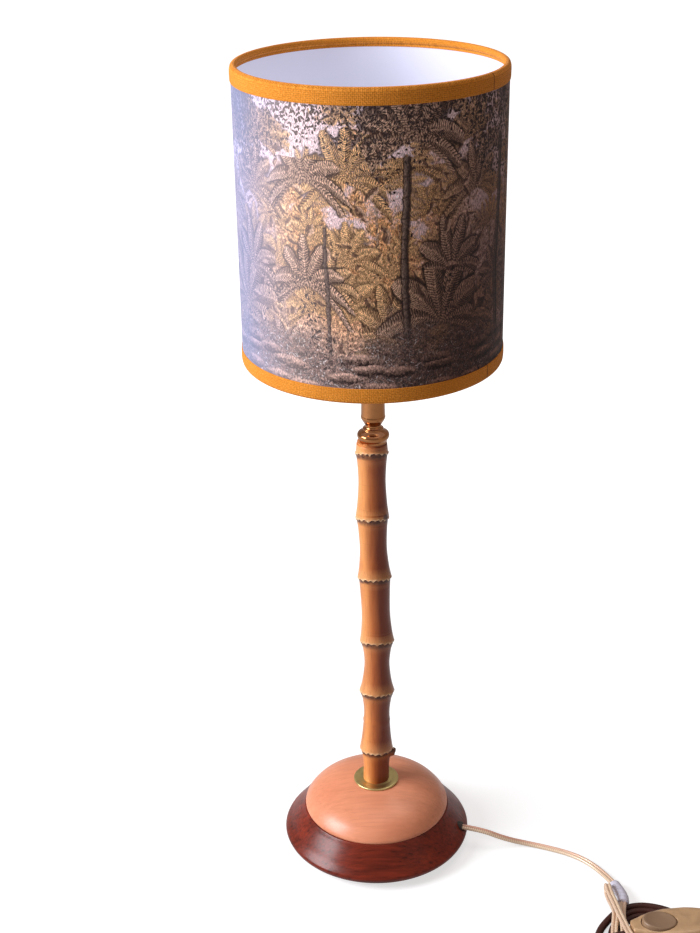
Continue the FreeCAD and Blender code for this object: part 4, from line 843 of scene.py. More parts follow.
def settle(piece, name, body, slot, *nodes):
    """Name a finished piece, give it its material, hang it on the empty of the body that carries it and hide the solids
    that it stands for.
    """
    piece.name = name
    piece.data.name = name
    piece.data.materials.clear()
    piece.data.materials.append(finish_for(slot))
    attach(piece, body)
    if nodes:
        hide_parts(*nodes)
    return piece


def smoothed(piece, degrees=32.0):
    pick(piece)
    bpy.ops.object.shade_smooth_by_angle(angle=math.radians(degrees))


def eased(points, parts=5):
    """Smooth line through points, by a curve that bends with its neighbours."""
    line = []
    ends = [points[0], *points, points[-1]]
    for before, start, end, after in zip(ends, ends[1:], ends[2:], ends[3:]):
        for step in range(parts):
            t = step / parts
            line.append(tuple(
                0.5 * (2 * s + (e - b) * t + (2 * b - 5 * s + 4 * e - a) * t * t + (3 * s - b - 3 * e + a) * t ** 3)
                for b, s, e, a in zip(before, start, end, after)))
    line.append(tuple(points[-1]))
    return line


def turned(profile, steps=None):
    """Turn an outline of (radius, height) in millimetres round Z; it ends on the axis or where it began."""
    clear_selection()
    bpy.ops.mesh.primitive_plane_add(size=0.001)
    piece = bpy.context.object
    bpy.ops.object.mode_set(mode="EDIT")
    bpy.ops.mesh.select_all(action="SELECT")
    bpy.ops.mesh.merge(type="CENTER")
    here = Vector((0.0, 0.0, 0.0))
    first = True
    for radius, height in profile:
        there = Vector((radius * MM, 0.0, height * MM))
        if first:
            bpy.ops.transform.translate(value=there - here)
        else:
            bpy.ops.mesh.extrude_vertices_move(TRANSFORM_OT_translate={"value": there - here})
        here = there
        first = False
    bpy.ops.mesh.select_all(action="SELECT")
    bpy.ops.mesh.spin(steps=steps or sizes().turning_steps, angle=math.tau, center=(0.0, 0.0, 0.0),
                      axis=(0.0, 0.0, 1.0))
    bpy.ops.mesh.select_all(action="SELECT")
    bpy.ops.mesh.remove_doubles(threshold=0.000004)
    bpy.ops.mesh.normals_make_consistent(inside=False)
    bpy.ops.object.mode_set(mode="OBJECT")
    return piece


def closed(profile):
    return [*profile, profile[0]]


def laid(piece, matrix):
    """Put a piece modelled about the origin in its place, and apply that to its mesh."""
    piece.matrix_world = matrix
    pick(piece)
    bpy.ops.object.transform_apply(location=True, rotation=True, scale=True)
    return piece


def apply_modifier(piece, kind, **settings):
    pick(piece)
    modifier = piece.modifiers.new(kind.title(), kind)
    for key, value in settings.items():
        setattr(modifier, key, value)
    bpy.context.view_layer.update()
    bpy.ops.object.modifier_apply(modifier=modifier.name)
    return piece


def carve(piece, tool, operation="DIFFERENCE"):
    apply_modifier(piece, "BOOLEAN", operation=operation, object=tool, solver="EXACT")
    bpy.data.objects.remove(tool)
    return piece


def rounded_edges(piece, width, degrees=35.0, segments=2):
    return apply_modifier(piece, "BEVEL", width=width * MM, segments=segments, limit_method="ANGLE",
                          angle_limit=math.radians(degrees), harden_normals=False)


def joined(*pieces):
    pick(*pieces)
    bpy.ops.object.join()
    return bpy.context.object


def drum(radius, foot, top, x=0.0, y=0.0, sides=48):
    """Upright cylinder, in millimetres."""
    clear_selection()
    bpy.ops.mesh.primitive_cylinder_add(vertices=sides, radius=radius * MM, depth=(top - foot) * MM,
                                        location=(x * MM, y * MM, (foot + top) / 2 * MM))
    bpy.ops.object.transform_apply(location=True, rotation=False, scale=False)
    return bpy.context.object


def axis_matrix(start, way):
    """Matrix that stands the Z axis along a direction at a point given in millimetres."""
    turn = Vector(way).to_track_quat("Z", "Y").to_matrix().to_4x4()
    return Matrix.Translation(Vector(start) * MM) @ turn


def cloth_map(piece, radius, fold=0):
    """Flat coordinates in metres round an upright drum from its front; fold is the way a tape turns in, if it does."""
    mesh = piece.data
    layer = mesh.uv_layers.new(name="Cloth")
    for face in mesh.polygons:
        turns = []
        for corner in face.loop_indices:
            point = mesh.vertices[mesh.loops[corner].vertex_index].co
            turns.append(math.atan2(point.x, -point.y))
        wide = max(turns) - min(turns) > math.pi
        for corner, turn in zip(face.loop_indices, turns):
            point = mesh.vertices[mesh.loops[corner].vertex_index].co
            if wide and turn < 0:
                turn += math.tau
            level = point.z - SHADE_FOOT * MM
            inward = radius * MM - math.hypot(point.x, point.y)
            layer.data[corner].uv = (turn * radius * MM, level - fold * inward)


# Routes of the cords, in millimetres


def spoke(radius, degrees, height):
    return (radius * math.cos(math.radians(degrees)), radius * math.sin(math.radians(degrees)), height)


def switch_point(along, across, height):
    x = SWITCH_PLACE[0] + along * math.cos(SWITCH_TURN) - across * math.sin(SWITCH_TURN)
    y = SWITCH_PLACE[1] + along * math.sin(SWITCH_TURN) + across * math.cos(SWITCH_TURN)
    return (x, y, SWITCH_PLACE[2] + height)


OUTLET_AZIMUTH = -13.0
CORD_EXIT = spoke(68.48, OUTLET_AZIMUTH, 17.5)

FLEX_ROUTE = [
    CORD_EXIT,
    spoke(92.0, OUTLET_AZIMUTH, 17.2),
    (112.0, -23.5, 8.4),
    (133.0, -22.5, 1.7),
    (153.0, -30.0, 1.7),
    (171.0, -38.8, 1.7),
    (184.0, -50.5, 1.7),
    (192.6, -64.0, 2.2),
    (198.6, -78.0, 3.8),
    (202.5, -90.5, 4.9),
    (204.2, -101.6, 6.0),
    (202.0, -110.8, 8.0),
    (199.8, -120.0, 9.0),
    (198.4, -130.0, 9.6),
    (197.8, -140.0, 9.2),
    (196.6, -150.5, 6.6),
    (195.4, -161.0, 7.0),
    (198.6, -172.5, 8.4),
    (204.5, -184.0, 8.6),
    (203.0, -198.0, 8.4),
    (190.0, -204.5, 8.4),
    (177.0, -199.0, 8.4),
    (174.5, -185.0, 8.4),
    (181.0, -171.5, 8.2),
    (186.6, -160.0, 7.8),
    (188.6, -149.0, 7.8),
    (190.2, -139.5, 8.4),
    (192.2, -131.0, 8.8),
    (194.2, -121.5, 8.2),
    (194.4, -111.0, 5.6),
    (193.6, -102.0, 3.0),
    (192.9, -94.4, 2.2),
    (192.7, -89.2, 2.2),
    (192.5, -86.6, 6.7),
    (192.3, -89.2, 11.2),
    (192.3, -94.4, 11.3),
    (192.8, -103.0, 11.9),
    (194.2, -113.0, 12.6),
    (195.2, -122.4, 13.3),
    (195.8, -130.3, 14.2),
    (197.0, -139.3, 15.4),
    (197.9, -148.2, 16.6),
    (198.8, -156.0, 17.6),
    (201.8, -164.5, 18.4),
    (209.0, -170.3, 17.9),
    (219.5, -171.4, 16.4),
    (233.0, -169.9, 14.2),
    (247.0, -170.2, 11.6),
    (261.5, -172.2, 9.0),
    (276.0, -175.4, 5.8),
    (290.0, -177.8, 2.6),
    (303.4, -177.2, 2.2),
    (313.6, -174.0, 2.4),
    (321.0, -166.5, 2.7),
    (323.5, -157.0, 4.4),
    (320.8, -148.5, 6.8),
    (313.0, -142.0, 9.3),
    switch_point(61.5, 0.0, 5.2),
    switch_point(29.5, 0.0, 5.2),
]

LEAD_START = [
    switch_point(-29.5, 0.0, 5.2),
    (195.5, -150.8, 11.8),
    (181.0, -156.5, 12.2),
    (168.6, -165.6, 8.4),
    (160.6, -180.5, 4.0),
    (161.3, -195.6, 3.0),
    (169.5, -210.4, 3.0),
    (184.1, -220.3, 3.0),
    (201.7, -222.3, 3.0),
    (218.0, -216.0, 3.0),
    (230.8, -202.6, 3.0),
    (242.5, -189.2, 3.0),
]

LEAD_END = [
    (222.5, -182.6, 8.9),
    (233.5, -186.8, 9.6),
    (246.0, -192.6, 9.2),
    (257.0, -197.4, 7.6),
    (PLUG_PLACE[0] - 8.0, PLUG_PLACE[1], 6.85),
    (PLUG_PLACE[0] + 4.0, PLUG_PLACE[1], 6.85),
]


# Radius of the coil from its outer end at 0 to its inner end at 1
COIL_RADII = (
    (0.0, 43.2), (0.105, 43.6), (0.130, 44.6), (0.150, 43.4), (0.166, 41.0), (0.180, 39.4), (0.196, 40.6),
    (0.220, 42.0), (0.308, 42.6),
    (0.356, 36.9), (0.461, 37.3), (0.486, 38.2), (0.506, 37.1), (0.522, 34.4), (0.536, 32.3), (0.552, 30.8),
    (0.576, 30.6), (0.620, 33.2), (0.664, 36.0),
    (0.712, 30.6), (0.817, 31.0), (0.842, 31.9), (0.862, 30.8), (0.878, 28.1), (0.892, 26.1), (0.908, 24.7),
    (0.932, 24.5), (1.0, 27.5),
)


def coil_turns():
    """Loose turns inwards from where the lead joins them to where its end lifts over them."""
    start, sweep = math.radians(318.6), math.radians(1011.6)
    count = 45
    step = sweep / count
    points = []
    for index in range(count + 1):
        share = index / count
        radius = between(COIL_RADII, share) / math.cos(step / 2)
        angle = start + sweep * share
        height = 3.0 if index < count - 1 else 3.4 + (index - count + 1) * 1.8
        points.append((COIL_CENTRE[0] + radius * math.cos(angle), COIL_CENTRE[1] + radius * math.sin(angle), height))
    return points


def between(table, at):
    """Value at a place in a table of (place, value) steps."""
    for (low, first), (high, second) in zip(table, table[1:]):
        if at <= high:
            return first + (second - first) * (at - low) / (high - low)
    return table[-1][1]


def smooth_route(name, points, thickness=0.0):
    """One open smooth spline with the route's points as its control points."""
    curve = bpy.data.curves.new(name, "CURVE")
    curve.dimensions = "3D"
    spline = curve.splines.new("NURBS")
    spline.points.add(len(points) - 1)
    for point, place in zip(spline.points, points):
        point.co = (*(c * MM for c in place), 1.0)
    spline.order_u = 3
    spline.use_endpoint_u = True
    spline.resolution_u = 12
    curve.bevel_depth = thickness / 2
    curve.bevel_resolution = 6
    curve.use_fill_caps = True
    route = bpy.data.objects.new(name, curve)
    bpy.context.scene.collection.objects.link(route)
    return route


def route_line(points):
    """Close points along a route's spline, in metres."""
    route = smooth_route("route", points)
    mesh = bpy.data.meshes.new_from_object(route)
    line = [v.co.copy() for v in mesh.vertices]
    bpy.data.objects.remove(route)
    bpy.data.meshes.remove(mesh)
    return line


def flat_sides(line):
    """For each point of a line, its direction and the way a flat cord's width lies, turned as little as can be."""
    frames = []
    side = None
    for index, point in enumerate(line):
        before = line[max(index - 1, 0)]
        after = line[min(index + 1, len(line) - 1)]
        way = (after - before).normalized()
        level = Vector((0.0, 0.0, 1.0)).cross(way)
        if side is None:
            side = level.normalized()
        side = (side - way * side.dot(way)).normalized()
        if level.length > 0.35:
            level.normalize()
            if level.dot(side) < 0:
                level.negate()
            side = (side + level * 0.25).normalized()
            side = (side - way * side.dot(way)).normalized()
        frames.append((point, way, side))
    return frames


def swept(name, frames, sections):
    """Closed tube through one section after another; each section is a list of (side, up) offsets in metres."""
    verts = []
    faces = []
    count = len(sections[0])
    for (point, way, side), section in zip(frames, sections):
        up = way.cross(side)
        verts += [point + side * s + up * u for s, u in section]
    for row in range(len(frames) - 1):
        for index in range(count):
            a = row * count + index
            b = row * count + (index + 1) % count
            faces.append((a, b, b + count, a + count))
    faces.append(tuple(range(count - 1, -1, -1)))
    last = (len(frames) - 1) * count
    faces.append(tuple(range(last, last + count)))
    mesh = bpy.data.meshes.new(name)
    mesh.from_pydata([tuple(v) for v in verts], [], faces)
    mesh.validate()
    piece = bpy.data.objects.new(name, mesh)
    bpy.context.scene.collection.objects.link(piece)
    pick(piece)
    bpy.ops.object.mode_set(mode="EDIT")
    bpy.ops.mesh.select_all(action="SELECT")
    bpy.ops.mesh.normals_make_consistent(inside=False)
    bpy.ops.object.mode_set(mode="OBJECT")
    return piece


def twin_section(width, sides=9):
    """Outline of two round conductors side by side, joined by a narrow web."""
    radius = width / 4
    points = []
    start = math.radians(158)
    for centre, first in ((radius, -start), (-radius, math.pi - start)):
        for index in range(sides * 2 - 1):
            angle = first + 2 * start * index / (sides * 2 - 2)
            points.append((centre + radius * math.cos(angle), radius * math.sin(angle)))
    return points


def point_values(mesh, name, values):
    layer = mesh.attributes.new(name, "FLOAT", "POINT")
    layer.data.foreach_set("value", values)


class LAMP_OT_stage(bpy.types.Operator):
    """Floor, lights, sky and the camera at the photograph's angle"""

    bl_idname = "lamp.stage"
    bl_label = "Stage"

    def execute(self, context):
        self.add_camera(context)
        self.add_floor()
        self.add_lights()
        self.add_sky(context)
        context.scene.view_settings.view_transform = "Standard"
        return {"FINISHED"}

    def add_camera(self, context):
        camera = bpy.data.cameras.new("Camera")
        camera.lens = sizes().lens
        camera.sensor_width = 36.0
        camera.sensor_fit = "AUTO"
        holder = bpy.data.objects.new("Camera", camera)
        context.scene.collection.objects.link(holder)
        pitch = Matrix.Rotation(math.radians(65.213), 4, "X")
        roll = Matrix.Rotation(-0.01582, 4, "Z")
        holder.matrix_world = Matrix.Translation((-0.018786, -1.128122, 0.881704)) @ pitch @ roll
        context.scene.camera = holder

    def add_floor(self):
        clear_selection()
        bpy.ops.mesh.primitive_plane_add(size=24.0, location=(0.0, 0.0, -0.0002))
        floor = bpy.context.object
        floor.name = "floor"
        material, tree, shader = finish("floor", Roughness=0.9, Specular_IOR_Level=0.1)
        cloud = speckle(tree, own_place(tree), 1.4, 2.0)
        feed(tree, shader, Base_Color=tone(tree, cloud, (0.50, 0.50, 0.505), (0.53, 0.53, 0.535)))
        path = put(tree, "ShaderNodeLightPath")
        both = calc(tree, "MAXIMUM", path.outputs["Is Camera Ray"], path.outputs["Is Transmission Ray"])
        both = calc(tree, "MAXIMUM", both, calc(tree, "MULTIPLY", path.outputs["Is Glossy Ray"], 0.25))
        away = put(tree, "ShaderNodeVectorMath", {0: own_place(tree)}, operation="LENGTH").outputs["Value"]
        pale = spread(tree, away, 0.35, 1.1, 0.64, 1.0, True)
        feed(tree, shader, Emission_Strength=calc(tree, "MULTIPLY", both, pale))
        shader.inputs["Emission Color"].default_value = (1.0, 1.0, 1.0, 1.0)
        floor.data.materials.append(material)

    def add_lights(self):
        self.area("window light", (-1.90, -0.50, 1.35), (0.0, 0.0, 0.36), 1.2, sizes().key_power,
                  (0.93, 0.95, 1.0))
        self.area("fill light", (1.6, -1.3, 0.9), (0.0, 0.0, 0.3), 1.2, sizes().fill_power,
                  (1.0, 0.68, 0.54))
        self.area("top light", (0.3, 0.4, 2.2), (0.0, 0.0, 0.3), 1.4, 12.0, (1.0, 0.95, 0.92))

    def area(self, name, place, target, size, power, colour):
        light = bpy.data.lights.new(name, "AREA")
        light.size = size
        light.energy = power
        light.color = colour
        holder = bpy.data.objects.new(name, light)
        bpy.context.scene.collection.objects.link(holder)
        way = Vector(target) - Vector(place)
        holder.matrix_world = Matrix.Translation(place) @ way.to_track_quat("-Z", "Y").to_matrix().to_4x4()

    def add_sky(self, context):
        world = bpy.data.worlds.new("Sky")
        context.scene.world = world
        world.use_nodes = True
        tree = world.node_tree
        background = tree.nodes["Background"]
        path = put(tree, "ShaderNodeLightPath")
        seen = calc(tree, "MAXIMUM", path.outputs["Is Camera Ray"], path.outputs["Is Transmission Ray"])
        seen = calc(tree, "MAXIMUM", seen, calc(tree, "MULTIPLY", path.outputs["Is Glossy Ray"], 0.25))
        strength = spread(tree, seen, 0.0, 1.0, sizes().sky_strength, 1.0)
        tree.links.new(strength, background.inputs["Strength"])
        tree.links.new(tone(tree, seen, (1.0, 0.80, 0.70), (1.0, 1.0, 1.0)), background.inputs["Color"])


class LAMP_OT_flex(bpy.types.Operator):
    """Gold twin flex from the base to the switch, with its wrapped tie"""

    bl_idname = "lamp.flex"
    bl_label = "Gold flex"

    def execute(self, context):
        width = sizes().flex_width
        line = route_line(FLEX_ROUTE)
        frames = flat_sides(line)
        outline = twin_section(width)
        piece = swept("flex", frames, [outline] * len(frames))
        travelled = [0.0]
        for before, after in zip(line, line[1:]):
            travelled.append(travelled[-1] + (after - before).length)
        count = len(outline)
        point_values(piece.data, "along", [travelled[i // count] for i in range(count * len(line))])
        point_values(piece.data, "around", [(i % count) / count for i in range(count * len(line))])
        smoothed(piece, 60.0)
        settle(piece, "flex", "lamp", "gold_flex", "flex_run", "flex_hank", "flex_tail")
        tie = self.wound_tie(frames, travelled)
        return {"FINISHED"}

    def wound_tie(self, frames, travelled):
        """Sleeve of tape wound round the flex where it meets the folded bundle."""
        anchor = Vector((0.1986, -0.0790, 0.0040))
        nearest = min(range(len(frames)), key=lambda i: (frames[i][0] - anchor).length)
        start = travelled[nearest] + 0.001
        length = 0.029
        chosen = [f for f, t in zip(frames, travelled) if start <= t <= start + length]
        fine = []
        for (p, w, s), (q, v, r) in zip(chosen, chosen[1:]):
            for step in range(6):
                t = step / 6
                fine.append((p.lerp(q, t), w.lerp(v, t).normalized(), s.lerp(r, t).normalized()))
        fine.append(chosen[-1])
        turns = 5.0
        sides = 36
        sections = []
        winding = []
        for index in range(len(fine)):
            share = index / (len(fine) - 1)
            end = min(1.0, min(share, 1 - share) * 14 + 0.55)
            section = []
            for side in range(sides):
                angle = math.tau * side / sides
                phase = (share * turns + side / sides) % 1.0
                swell = 0.00045 * (0.35 + 0.65 * math.sin(phase * math.pi) ** 0.6)
                wide = (0.0043 + swell) * (0.86 + 0.14 * end)
                thick = (0.0034 + swell) * (0.80 + 0.20 * end)
                section.append((wide * math.cos(angle), thick * math.sin(angle)))
                winding.append(phase)
            sections.append(section)
        piece = swept("tie", fine, sections)
        point_values(piece.data, "winding", winding)
        smoothed(piece, 60.0)
        return settle(piece, "flex_wrap", "lamp", "tie_wrap", "flex_tie")


class LAMP_OT_lead(bpy.types.Operator):
    """Brown round lead from the switch, coiled, to its plug"""

    bl_idname = "lamp.lead"
    bl_label = "Brown lead"

    def execute(self, context):
        thickness = sizes().lead_diameter
        points = [*LEAD_START, *coil_turns(), *LEAD_END]
        piece = smooth_route("lead", points, thickness)
        line = route_line(points)
        piece.data.materials.append(finish_for("brown_lead"))
        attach(piece, "lamp")
        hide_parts("lead_run", "lead_coil", "lead_tail")
        return {"FINISHED"}


class LAMP_OT_base(bpy.types.Operator):
    """Turned ring, dome, seating washer and cord bush of the base"""

    bl_idname = "lamp.base"
    bl_label = "Base"

    def execute(self, context):
        outside = eased([(66.0, 1.6), (70.6, 2.5), (74.5, 4.2), (79.1, 7.4), (80.75, 10.6), (80.5, 12.2),
                         (79.3, 13.9), (75.6, 18.0), (72.1, 22.6), (68.5, 27.2), (65.4, 31.1),
                         (63.9, 33.2), (63.0, 34.3), (61.9, 34.7)], 6)
        ring = turned(closed([(20.0, 1.5), (64.5, 1.5), *outside, (56.5, 34.7), (56.5, 30.2), (20.0, 30.2)]), 160)
        hole = drum(4.3, 0.0, 66.0)
        laid(hole, axis_matrix(spoke(20.0, OUTLET_AZIMUTH, 17.5), spoke(1.0, OUTLET_AZIMUTH, 0.0)))
        carve(ring, hole)
        smoothed(ring, 40.0)
        settle(ring, "ring", "lamp", "mahogany", "base_ring")
        crown = eased([(61.4, 34.0), (62.35, 35.3), (62.2, 37.2), (59.8, 40.7), (56.2, 44.7), (51.1, 48.5),
                       (44.7, 51.9), (37.2, 54.7), (28.8, 56.7), (19.1, 58.2), (10.0, 58.2)], 6)
        dome = turned(closed([(5.25, 44.0), (13.0, 44.0), (13.0, 30.2), (56.25, 30.2), (56.25, 34.0),
                              *crown, (5.25, 58.2)]), 160)
        smoothed(dome, 40.0)
        settle(dome, "dome", "lamp", "terracotta_wood", "base_dome")
        lip = eased([(18.4, 58.2), (19.3, 58.5), (19.55, 59.1), (19.2, 59.7), (18.4, 60.0)], 4)
        washer = turned(closed([(5.25, 58.2), *lip, (14.6, 60.0), (13.9, 59.8), (13.2, 60.0), (5.25, 60.0)]))
        smoothed(washer, 40.0)
        settle(washer, "washer", "lamp", "brass_aged", "seating_washer")
        bush = turned(closed([(3.2, 0.4), (3.5, 0.0), (4.3, 0.0), (4.3, 7.4), (4.25, 8.4), (3.9, 9.0), (3.6, 9.0),
                              (3.2, 8.5)]), 48)
        laid(bush, axis_matrix(CORD_EXIT, spoke(1.0, OUTLET_AZIMUTH, 0.0)))
        smoothed(bush, 35.0)
        settle(bush, "bush", "lamp", "dark_plastic", "cord_bush")
        return {"FINISHED"}


class LAMP_OT_cane(bpy.types.Operator):
    """Cane stem with its ragged joints, branch stub and bud scar"""

    bl_idname = "lamp.cane"
    bl_label = "Cane stem"

    LENGTHS = (30.5, 58.5, 49.5, 61.0, 55.0, 57.5, 11.0)
    RIMS = (14.2, 14.9, 14.5, 14.1, 13.7, 13.5)
    LEANS = (0.3, 1.3, 1.8, 0.2, -1.3, -1.3)
    WAISTS = (11.0, 10.9, 10.8, 12.0, 11.0, 10.8)
    WAIST_SHARES = (0.45, 0.62, 0.56, 0.45, 0.50, 0.56)
    FOOT = 11.3
    TOP = 11.6
    OVERHANG = 0.9
    FRONT_RISES = (1.6, 3.2, 4.6, 3.8, 3.6, 5.0)

    def execute(self, context):
        rows = self.rows()
        piece = turned(closed([(5.25, CANE_FOOT), *[(r, z) for r, z, _, _, _ in rows], (5.25, CANE_TOP)]), 144)
        self.grow(piece, rows)
        smoothed(piece, 48.0)
        settle(piece, "cane", "lamp", "bamboo", "bamboo_stem")
        return {"FINISHED"}

    def joints(self):
        heights = [CANE_FOOT]
        for length in self.LENGTHS:
            heights.append(heights[-1] + length)
        return heights

    def rows(self):
        """Rings of the cane from the foot up: radius, height, and how much each is rim, band and flare, the last being
        where a highlight is painted.
        """
        heights = self.joints()
        flares = (self.FOOT, *self.RIMS, self.TOP)
        rows = []
        for index, length in enumerate(self.LENGTHS):
            last = index == len(self.LENGTHS) - 1
            low = flares[index]
            high = flares[index + 1] if last else flares[index + 1] - self.OVERHANG
            waist = (low + high) / 2 if last else self.WAISTS[index]
            narrow = length * (0.5 if last else self.WAIST_SHARES[index])
            soft = 0.7 if index else 0.0
            shape = [(0.0, low), (1.6, low - 0.12), (narrow * 0.42, low - (low - waist) * 0.60),
                     (narrow, waist), (narrow + (length - narrow) * 0.62, waist + (high - waist) * 0.36),
                     (length - 2.2, high - 0.25), (length, high)]
            line = eased(shape, 9)
            for level, radius in line:
                z = heights[index] + level
                from_rim = level
                to_rim = length - level
                rim = max(0.0, 1 - from_rim / 2.2) if index else 0.0
                band = 0.0 if last else min(1.0, max(0.0, 1 - to_rim / 5.0) * 1.6)
                # How much of the painted highlight each flare next to a joint gets
                flare_highlight = max(0.0, 1 - from_rim / 13.0) * 0.7 if index else 0.0
                flare_highlight = max(flare_highlight, 0.0 if last else max(0.0, 1 - to_rim / 9.0) * 0.35)
                if index and level < 0.5:
                    radius -= soft * (1 - level / 0.5) ** 2
                rows.append((radius, z, rim, band, flare_highlight))
        return rows

    def grow(self, piece, rows):
        """Lean, swell and fray the turned stem, and keep what each point is for its finish."""
        mesh = piece.data
        heights = self.joints()
        leans = (0.0, *self.LEANS, self.LEANS[-1])
        table = {}
        for radius, height, rim, band, flare_highlight in rows:
            table.setdefault(round(height, 4), []).append((radius, rim, band, flare_highlight))
        teeth = sizes().rim_teeth
        depth = sizes().tooth_depth / MM
        kept = {"rim": [], "band": [], "flare_highlight": [], "scar": []}
        for vertex in mesh.vertices:
            x, y, z = (c / MM for c in vertex.co)
            radius = math.hypot(x, y)
            azimuth = math.atan2(y, x)
            options = table.get(round(z, 4), [(5.25, 0.0, 0.0, 0.0)])
            near = min(options, key=lambda o: abs(o[0] - radius))
            scar = 0.0
            if radius > 6.0:
                index = max(0, min(len(self.LENGTHS) - 1, sum(1 for h in heights[1:] if h <= z + 0.001)))
                share = (z - heights[index]) / self.LENGTHS[index]
                oval = 0.22 * math.cos(2 * azimuth + index * 1.3) + 0.14 * math.cos(3 * azimuth - index)
                radius += oval * math.sin(min(1.0, max(0.0, share)) * math.pi) ** 0.5
                z, radius = self.fray(z, radius, azimuth, heights, teeth, depth, near)
                tilt = self.tilt(z, heights) * -math.sin(azimuth)
                z, radius, scar = self.marks(z, radius, azimuth, heights)
                lean = leans[index] + (leans[index + 1] - leans[index]) * share
                if CANE_FOOT + 0.01 < vertex.co.z / MM < CANE_TOP - 0.01:
                    vertex.co = ((radius * math.cos(azimuth) + lean) * MM, radius * math.sin(azimuth) * MM,
                                 (z + tilt) * MM)
                else:
                    vertex.co.x = (radius * math.cos(azimuth) + lean) * MM
                    vertex.co.y = radius * math.sin(azimuth) * MM
            for key, value in zip(("rim", "band", "flare_highlight", "scar"), (*near[1:], scar)):
                kept[key].append(value)
        for key, values in kept.items():
            point_values(mesh, key, values)
        mesh.update()

    def fray(self, z, radius, azimuth, heights, teeth, depth, near):
        """Teeth along the lower edge of each rim, and small bumps above them."""
        for number, joint in enumerate(heights[1:-1]):
            gap = z - joint
            if abs(gap) > 3.0:
                continue
            turn = azimuth + number * 0.9
            wave = math.sin(turn * teeth + 1.3 * math.sin(turn * 3 + number))
            odd = math.sin(turn * (teeth * 0.5) + number * 2.0) * math.sin(turn * 2 + number)
            ragged = depth * (0.85 * wave + 0.55 * odd)
            if gap > -0.35:
                hold = max(0.0, 1 - max(0.0, gap) / 2.2)
                z += ragged * hold
                radius += 0.22 * wave * hold * (1.0 if gap > 0.05 else 0.2)
            else:
                z += min(0.0, ragged) * max(0.0, 1 + gap / 2.0) * 0.6
        return z, radius

    def tilt(self, z, heights):
        """How far the cane's front is lifted at this height, because its joints don't lie level."""
        lift = 0.0
        for joint, rise in zip(heights[1:-1], self.FRONT_RISES):
            room = min(joint - heights[0], heights[-1] - joint, 24.0)
            lift += rise * max(0.0, 1 - abs(z - joint) / room) ** 1.5
        return lift

    def soft_spot(self, away, reach):
        """One inside a spot, nothing outside it, with a soft edge."""
        return 1 / (1 + math.exp(min(30.0, (away - reach) * 2.7)))

    def marks(self, z, radius, azimuth, heights):
        """Minor ring, cut branch stub and bud scar."""
        ring = math.exp(-((z - 121.0) / 0.9) ** 2)
        radius += 1.25 * ring * (1.0 + 0.25 * math.sin(azimuth * 9))
        sweep = (azimuth + math.pi) % math.tau - math.pi
        stub_z = heights[1] - 4.6
        away = math.hypot(sweep * 12.5, (z - stub_z) * 0.95)
        stub = self.soft_spot(away, 3.6)
        stub_height = 4.0 * stub
        radius += stub_height
        bud_turn = (azimuth - math.radians(-40.0) + math.pi) % math.tau - math.pi
        away_bud = math.hypot(bud_turn * 13.0, z - (heights[5] + 3.0))
        bud = self.soft_spot(away_bud, 2.7)
        radius += 1.1 * bud - 0.5 * math.exp(-(away_bud / 1.0) ** 2)
        scar = max(0.9 * bud if away_bud < 3.4 else 0.0, 0.75 * stub if away < 3.2 else 0.0)
        return z, radius, scar


class LAMP_OT_brass(bpy.types.Operator):
    """Brass cap on the cane and the neck cup above it"""

    bl_idname = "lamp.brass"
    bl_label = "Brass cap and neck"

    def execute(self, context):
        cap_side = eased([(11.0, 383.1), (11.1, 384.3), (11.7, 385.5), (12.5, 386.8), (12.8, 388.3), (12.5, 389.8),
                          (11.6, 390.9), (10.3, 391.6), (9.2, 392.4), (8.5, 393.1), (8.2, 393.6), (8.3, 394.2),
                          (8.0, 394.7), (7.2, 395.0), (6.7, 395.6), (6.4, 396.5), (6.3, 397.5)], 5)
        cap = turned(closed([(5.3, 383.05), *cap_side, (5.3, 397.5)]))
        smoothed(cap, 50.0)
        settle(cap, "cane_cap", "lamp", "brass_polished", "stem_cap")
        side = eased([(6.3, 397.5), (6.8, 398.1), (7.5, 399.2), (8.3, 400.6), (9.3, 402.4), (9.72, 403.5),
                      (9.8, 404.3), (9.7, 405.1), (9.55, 406.2), (9.4, 412.0), (9.3, 419.6), (9.1, 420.3),
                      (8.6, 420.5)], 5)
        neck = turned(closed([(5.3, 397.5), *side, (5.3, 420.5)]))
        smoothed(neck, 50.0)
        settle(neck, "neck", "lamp", "brass_polished", "neck_cup")
        return {"FINISHED"}


